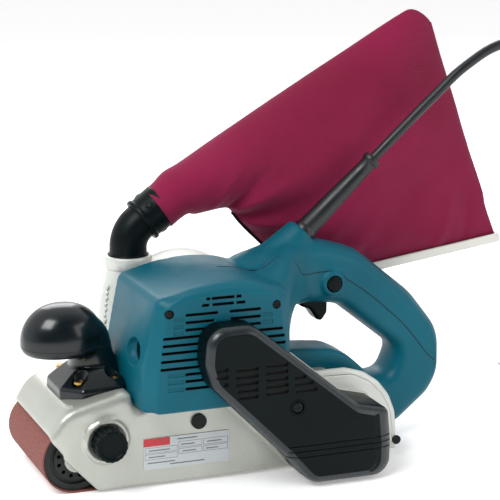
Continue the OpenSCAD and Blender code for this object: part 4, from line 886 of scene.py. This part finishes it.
# %% Front grip
def oval(x, hx, y, hy, z, lean=0.0, power=1.0, count=64):
    ring = []
    for k in range(count):
        a = 2 * math.pi * k / count
        c, s = math.cos(a), math.sin(a)
        px = x + hx * math.copysign(abs(c) ** power, c)
        ring.append(Vector((px, y + hy * math.copysign(abs(s) ** power, s), z + lean * (px - x))) / 1000)
    return ring


crown_rows = [(98.2, 0.80), (98.8, 0.87), (100.2, 0.935), (102.2, 0.975), (104.6, 0.995), (107.4, 1.0),
    (111, 1.0), (115, 0.98), (119.5, 0.94), (124, 0.87), (128, 0.775), (131.4, 0.66), (134.2, 0.51),
    (136.2, 0.34), (137.1, 0.14)]
knob_rings = []
for z, share in crown_rows:
    rear = max(0, (z - 108) / 31)
    knob_rings.append(oval(-109.5 + 1.2 * rear, 32 * share, -7, 26 * share, z, 0.0 if z > 100 else 0.02))
palm = loft("palm", knob_rings)
neck_rows = [(66, -86.5, 24, 30), (76, -86.5, 23.5, 27), (80, -85.5, 21.5, 23), (85, -84.5, 19, 19.5),
    (91, -85, 17.5, 17.5), (97, -87.5, 18, 17.5), (103, -91, 20, 19), (109, -94.5, 22.5, 21),
    (115, -97, 23, 22), (121, -99, 21, 21), (126, -101, 16, 17)]
neck = loft("neck", [oval(x, hx, -6, hy, z, 0, 0.85) for z, x, hx, hy in neck_rows])
foot_line = [(-116.5, -25, 3), (-103, -41.5, 3), (-73, -41.5, 3), (-62.5, -31, 3), (-62.5, 17, 3),
    (-73, 27.5, 3), (-103, 27.5, 3), (-116.5, 12, 3)]
foot_rings = []
for z, d in ((60, 0), (75.2, 0), (76.6, 0.5), (77.8, 1.6), (82.2, 7), (86.4, 12.5), (88.4, 15.5)):
    foot_rings.append([Vector((p.x, p.y, z - 0.14 * max(0, -88 - p.x) * (0.5 if z > 70 else 0))) / 1000
        for p in rounded(inset(foot_line, d), 4)])
foot = loft("foot", foot_rings)
grip = gather("palm_grip", [palm, neck])
skin(grip, 0.0012, 10)
grip = gather("palm_grip", [grip, foot])
skin(grip, 0.001, 2)
nose = [(-134.55, 44.6), (-125.05, 60.8), (-118.05, 66.3), (-109.05, 68.7), (-93.05, 72.5), (-75.65, 75.5),
    (-68, 76), (-40, 76), (-40, 40), (-134, 40)]
carve(grip, loft("tool", along([(-80, [Vector(p) for p in nose]), (60, [Vector(p) for p in nose])])))
for x, y, deck in ((-102.65, -30, 71), (-76, -30, 76), (-102.65, 18, 71), (-76, 18, 76)):
    carve(grip, turned("tool", [(0, 4.6), (3, 5.2), (16, 9.5)], (x, y, deck + 4.5), (0, 0, 1), 32))
dress(grip, "grip_plastic", "machine", ["front_grip"])
soften(grip, 40)
print("grip faces", len(grip.data.polygons))

# %% [markdown]
# Where two shells meet there is a fine dark line. It could be cut, but a cut this thin needs a
# very dense mesh. A thin tube laid on the nearest place of the surface follows any form.

# %% Lines pressed into a surface
def surface_of(obj):
    work = bmesh.new()
    work.from_mesh(obj.data)
    tree = BVHTree.FromBMesh(work)
    work.free()
    return tree


def fine_line(name, points, tree, radius=0.34, sink=0.12, closed=False, per=6):
    """A thin dark line laid into a surface along points in mm, drawn to the nearest place on it."""
    points = [Vector(p) for p in points]
    n = len(points)
    dense = []
    for i in range(n if closed else n - 1):
        p = [points[(i + j) % n] if closed else points[min(max(i + j, 0), n - 1)] for j in (-1, 0, 1, 2)]
        for k in range(per):
            u = k / per
            dense.append(0.5 * (2 * p[1] + (p[2] - p[0]) * u + (2 * p[0] - 5 * p[1] + 4 * p[2] - p[3]) * u * u
                                + (3 * p[1] - p[0] - 3 * p[2] + p[3]) * u ** 3))
    if not closed:
        dense.append(points[-1])
    laid = []
    for p in dense:
        place, normal, _, _ = tree.find_nearest(p / 1000)
        laid.append(place - normal * sink / 1000)
    data = bpy.data.curves.new(name, "CURVE")
    data.dimensions, data.bevel_depth, data.bevel_resolution, data.use_fill_caps = "3D", radius / 1000, 1, True
    line = data.splines.new("POLY")
    line.points.add(len(laid) - 1)
    for place, p in zip(line.points, laid):
        place.co = (*p, 1)
    line.use_cyclic_u = closed
    shape = new_object(name, data)
    mesh = bpy.data.meshes.new_from_object(shape.evaluated_get(bpy.context.evaluated_depsgraph_get()))
    discard(shape)
    return new_object(name, mesh)


grip_surface = surface_of(grip)
rim = [(-109.5 + 34 * math.cos(math.radians(a)), -7 + 28 * math.sin(math.radians(a)), 104.4)
    for a in range(0, 360, 15)]
grip_seam = fine_line("grip_parting_line", rim, grip_surface, 0.3, 0.1, True)
dress(grip_seam, "grip_plastic", "machine")
grip_seam.data.materials[0] = shade_and_seam_dark
print("parting line points", len(grip_seam.data.vertices))

# %% [markdown]
# The handle is moulded in two halves. Their parting line climbs from the housing over the guard's
# root, runs under the lock button and follows the outside of the grip.

# %% Where the two halves of the handle meet
seam_route = [(9.5, 162), (23.5, 162.4), (38, 166), (50.2, 169.1), (49.8, 167), (56, 163), (64.8, 157.6),
    (75.1, 149.4), (80.3, 147.4), (92.3, 147.2), (107, 146.8), (114, 143.8), (125, 138), (137.2, 129.5),
    (149, 120.4), (160.9, 109.9), (173, 98.8), (184.2, 85.9), (196.6, 70.2), (205, 64)]
seam = fine_line("handle_parting_line", [(x, -27 if x < 78 else -20, z) for x, z in seam_route],
    surface_of(moulding), 0.42, 0.08)
dress(seam, "teal_plastic", "machine")
seam.data.materials[0] = seam_dark
print("seam points", len(seam.data.vertices))

# %% [markdown]
# ## The dust bag
# The bag is sewn from two panels of burgundy cloth. Its neck is gathered round the collar, it
# opens out towards the rear, and its lower edge is pinched in a white rail. It is lofted from
# sections that run from the lower edge to the upper one. Each section is a lens that is round at
# the neck, full in the middle and nearly flat at the rear hem. Folds fan out below the neck,
# where the cloth turns, and the hem below is a little wavy, so points move by soft ridges.

# %% Sections of the bag
BAG_Y = 45.0
sections = [((-4.6, 178.2), (-25.6, 207.6), 18.3), ((3.4, 184.2), (-17.6, 213.6), 18.4),
    ((10.5, 187.8), (-8.5, 222.5), 19.4), ((17.3, 187.0), (5, 229.6), 20.6), ((32, 189.3), (30, 245), 22.3),
    ((43.5, 190.2), (60, 263), 23.8), ((48.5, 187.2), (75, 272), 24.6), ((57, 177.5), (92, 282.2), 25.4),
    ((74, 160.6), (118, 297.5), 26), ((93, 141.5), (146, 313.5), 26), ((112, 123.8), (170, 327.5), 25),
    ((136, 127), (184, 335.5), 23.4), ((168, 131.4), (194, 341), 21), ((202, 136.4), (203, 345.2), 17.5),
    ((236, 141.2), (210, 344.6), 13.5), ((264, 145), (216, 341.5), 9.5), ((283, 147.8), (220.5, 338), 5.6),
    ((291, 149), (223, 335.4), 2.2)]
FOLDS = [((46, 193), (72, 226), 4.2, -1.7), ((50, 190), (96, 214), 5.0, 1.9),
    ((54, 184), (112, 196), 5.4, -2.0), ((62, 176), (126, 176), 5.2, 1.8),
    ((80, 158), (140, 158), 5.0, -1.4), ((98, 142), (168, 150), 5.5, 1.6), ((28, 192), (52, 236), 5.0, 1.3),
    ((130, 132), (210, 190), 9, 1.1), ((150, 134), (250, 240), 12, -1.3), ((120, 150), (190, 250), 14, 1.3),
    ((236, 146), (246, 196), 6, 1.5), ((262, 150), (262, 190), 5, -1.4)]


def fold_height(x, z):
    """How far the cloth stands out or in at a place, from soft ridges between two points each."""
    total = 0
    for (x0, z0), (x1, z1), width, height in FOLDS:
        dx, dz = x1 - x0, z1 - z0
        t = max(0, min(1, ((x - x0) * dx + (z - z0) * dz) / (dx * dx + dz * dz)))
        away = math.hypot(x - x0 - dx * t, z - z0 - dz * t)
        total += 2.3 * height * math.exp(-(away / (width * (0.6 + 0.8 * t))) ** 2) * (1 - t * t * 0.85)
    return total


def catmull(rows, u):
    i = min(int(u), len(rows) - 2)
    p = [rows[min(max(i + j, 0), len(rows) - 1)] for j in (-1, 0, 1, 2)]
    u -= i
    return [0.5 * (2 * b + (c - a) * u + (2 * a - 5 * b + 4 * c - d) * u * u + (3 * b - a - 3 * c + d) * u ** 3) for a, b, c, d in zip(*p)]


flat_rows = [[*low, *high, full] for low, high, full in sections]
STEPS, AROUND = 110, 96
rings = []
for k in range(STEPS + 1):
    u = (len(flat_rows) - 1) * k / STEPS
    x0, z0, x1, z1, full = catmull(flat_rows, u)
    neck = max(0, 1 - u / 5.5)
    wave = max(0, (u - 15.2) / 1.8)
    ring = []
    for i in range(AROUND):
        a = 2 * math.pi * i / AROUND
        t = 0.5 - 0.5 * math.cos(a)
        side = math.sin(a)
        lens = abs(side) ** (1.0 + 0.25 * (1 - neck))
        rail = min(1, t / 0.07) if u > 10 else 1
        x, z = x0 + (x1 - x0) * t, z0 + (z1 - z0) * t
        out = full * lens * (0.45 + 0.55 * rail)
        out += (1 - neck * 0.8) * min(1, abs(side) * 2.2) * (fold_height(x,
            z) + 1.2 * noise.noise(Vector((x, z, 40 * math.copysign(1, side))) / 46))
        x += wave * 1.7 * math.sin(z / 7.4 + 1.1) * max(0, 1 - abs(z - 186) / 62)
        ring.append(Vector((x, BAG_Y - math.copysign(max(out, 0.35), side) if abs(side) > 1e-6 else BAG_Y,
            z)) / 1000)
    rings.append(ring)
bag = soften(loft("dust_bag_cloth", rings), 60)
step = bag.modifiers.new("fine", "SUBSURF")
step.levels = step.render_levels = 1
settle(bag)
dress(bag, "bag_cloth", "bag", ["dust_bag"])
print("bag faces", len(bag.data.polygons))

# %% [markdown]
# Dark piping binds the lower edge in front of the rail, and a thin hem closes the rear edge.
# The rail is an extrusion with a slot for the cloth: one outline, moved along a straight line.

# %% Piping, neck band and rail
def tube_along(name, points, radius, closed=False):
    shape = curve_through(name, points, radius, 4)
    shape.data.splines[0].use_cyclic_u = closed
    mesh = bpy.data.meshes.new_from_object(shape.evaluated_get(bpy.context.evaluated_depsgraph_get()))
    discard(shape)
    return soften(new_object(name, mesh), 60)


edge_low = [Vector((x, BAG_Y, z)) for x, z in ((49.5, 186.2), (57, 177), (74, 160), (93, 141), (110, 124.8))]
piping = tube_along("bag_piping", edge_low, 1.5)
dress(piping, "black_plastic", "bag")
hem = tube_along("bag_hem", [Vector((x, BAG_Y, z))
    for x, z in ((290.6, 150.5), (276, 186), (257, 234), (240, 286), (223.5, 334))], 0.9)
dress(hem, "bag_cloth", "bag")
rise = math.radians(8.1)
rail_way, rail_up = Vector((math.cos(rise), 0, math.sin(rise))), Vector((-math.sin(rise), 0, math.cos(rise)))
rail_line = [(-5, -3.6, 1.6), (5, -3.6, 1.6), (5, 3.9, 1.6), (2.2, 3.9, 0.6), (2.2, -0.6, 0.4),
    (-2.2, -0.6, 0.4), (-2.2, 3.9, 0.6), (-5, 3.9, 1.6)]
rail_rings = []
for d, g in ((0, 0.8), (0.4, 0.3), (1.2, 0), (182.8, 0), (183.6, 0.3), (184, 0.8)):
    rail_rings.append([(Vector((112, BAG_Y, 122)) + rail_way * d + Vector((0, p.x, 0)) + rail_up * p.y) / 1000
                       for p in rounded(inset(rail_line, g), 5)])
rail = soften(loft("bag_clamp_rail", rail_rings), 40)
dress(rail, "rail_plastic", "rail", ["bag_rail"])
print("rail faces", len(rail.data.polygons))

# %% [markdown]
# ## Knob, trigger, button and type plate
# Small parts carry much of the look. The tracking knob is turned, with ribs that fade out below
# its raised rim. The trigger is a curved slab with soft edges. The type plate is foil with
# printed fields: here only boxes, bars and one red block, with no words.

# %% Knob, trigger and button
knob = soften(turned("tracking_dial", [(0.4, 11.8, 0), (0.8, 12.5, 1), (2.5, 12.8, 1), (12.6, 12.7, 1),
    (14.4, 12.6, 0.8), (15.4, 12.2, 0.3), (16.1, 11.4, 0), (16.3, 10.4, 0), (15.9, 9.5, 0), (14.9, 8.9, 0),
    (14.6, 8.0, 0), (14.9, 4, 0), (15, 0.4, 0)], (-90.15, -58, 41), (0, -1, 0), 144, 18, 1.1), 40)
dress(knob, "black_plastic", "tracker", ["tracking_knob"])
lever_line = [(88, 123.5, 1), (88, 117, 3), (96.5, 113.6, 8), (103, 104.4, 2.5), (107, 103.4, 2.5),
    (111.6, 110, 4), (111.6, 123.5, 1)]
pull = soften(slab("switch_trigger", lever_line, -9, 9, 3.0, cut=6), 40)
dress(pull, "black_plastic", "trigger", ["trigger"])
button = soften(turned("lock_pin", [(-6, 6.4), (2.6, 6.4), (3.4, 6.1), (3.8, 5.4), (4.0, 3), (4.05, 0.3)],
    (110.7, -20, 137), (0, -1, 0), 56), 35)
dress(button, "black_plastic", "lock", ["lock_button"])
print("knob faces", len(knob.data.polygons))

# %% [markdown]
# The plate is thin foil with a printed table. Its fields are frames made of four bars each, with
# plain bars where words would be, so nothing on it can be read.

# %% Type plate
def print_block(x0, x1, z0, z1, lift=0.05):
    return brick((x0, -58.6 - lift, z0), (x1, -58.4, z1), "print")


plate = slab("type_plate", [(-61, 14, 0.8), (-61, 39, 0.8), (8, 39, 0.8), (8, 14, 0.8)], -58.6, -58.02, 0.1)
dress(plate, "plate_label", "machine", ["name_plate"])
bars = []
for x0, x1, z0, z1 in ((-60, -34, 27.2, 31.6), (-33, -14, 29.4, 34.2), (-13, 7, 29.4, 34.2),
        (-33, -14, 24.2, 28.6), (-13, 7, 24.2, 28.6), (-60, -34, 22, 26.4)):
    for bar in ((x0, x1, z0, z0 + 0.3), (x0, x1, z1 - 0.3, z1), (x0, x0 + 0.3, z0, z1), (x1 - 0.3, x1, z0, z1)):
        bars.append(print_block(*bar))
for x0, x1, z in ((-57, -40, 29.2), (-31, -20, 31.6), (-10, 2, 31.6), (-30, -19, 26.2),
        (-11, -1, 26.2), (-57, -44, 24), (-58, -36, 19.4), (-40, -12, 17.2),
                  (-34, -18, 36.4)):
    bars.append(print_block(x0, x1, z - 0.45, z + 0.45))
ink = gather("plate_fields", bars)
dress(ink, "plate_label", "machine")
ink.data.materials[0] = grey_ink
block = print_block(-61, -40, 32.6, 38.9)
block.name = "plate_colour_block"
dress(block, "plate_label", "machine")
block.data.materials[0] = red_ink
print("printed bars", len(bars))

# %% [markdown]
# ## Floor and light
# A product shot on a pale sweep: one large soft light high on the left, a broad fill in front
# on the right, a low strip behind for the edges, and a surround that is white behind the tool
# and darker in front of it, so that dark plastics keep their depth.

# %% Floor
floor = brick((-20000, -20000, -4), (20000, 20000, -0.05), "floor")
floor.data.materials.append(finish("pale_floor", (246, 246, 246), (243, 243, 243), (0.75, 0.85), 200,
    0.00001, 0.0001, Specular_IOR_Level=0.1, Emission_Color=(1, 1, 1, 1), Emission_Strength=0.3))


# %% [markdown]
# Area lights are soft because they are large. The surround gets its brightness from the
# direction alone, so it is the same wherever the camera stands.

# %% Lights
def soft_light(name, place, target, size, watts, tint=(1, 1, 1)):
    lamp = bpy.data.objects.new(name, bpy.data.lights.new(name, "AREA"))
    bpy.context.scene.collection.objects.link(lamp)
    lamp.data.shape, lamp.data.size, lamp.data.energy, lamp.data.color = "SQUARE", size, watts, tint
    lamp.location = place
    lamp.rotation_euler = (Vector(target) - Vector(place)).to_track_quat("-Z", "Y").to_euler()
    return lamp


soft_light("key", (-1.3, -0.9, 1.9), (0, 0, 0.1), 1.1, 42)
soft_light("fill", (1.6, -1.6, 1.0), (0, 0, 0.12), 1.4, 14)
soft_light("edge", (0.3, 1.9, 1.4), (0, 0, 0.15), 1.2, 16)
world = bpy.data.worlds.new("surround")
bpy.context.scene.world = world
world.use_nodes = True
tree = world.node_tree
tree.nodes["Background"].inputs["Color"].default_value = (1, 1, 1, 1)
apart, ramp = add(tree, "SeparateXYZ"), add(tree, "MapRange")
tree.links.new(add(tree, "TexCoord").outputs["Generated"], apart.inputs[0])
tree.links.new(apart.outputs["Y"], ramp.inputs["Value"])
for key, value in (("From Min", -0.55), ("From Max", 0.15), ("To Min", 0.12), ("To Max", 1.0)):
    ramp.inputs[key].default_value = value
tree.links.new(ramp.outputs["Result"], tree.nodes["Background"].inputs["Strength"])
bpy.context.scene.view_settings.view_transform = "Standard"
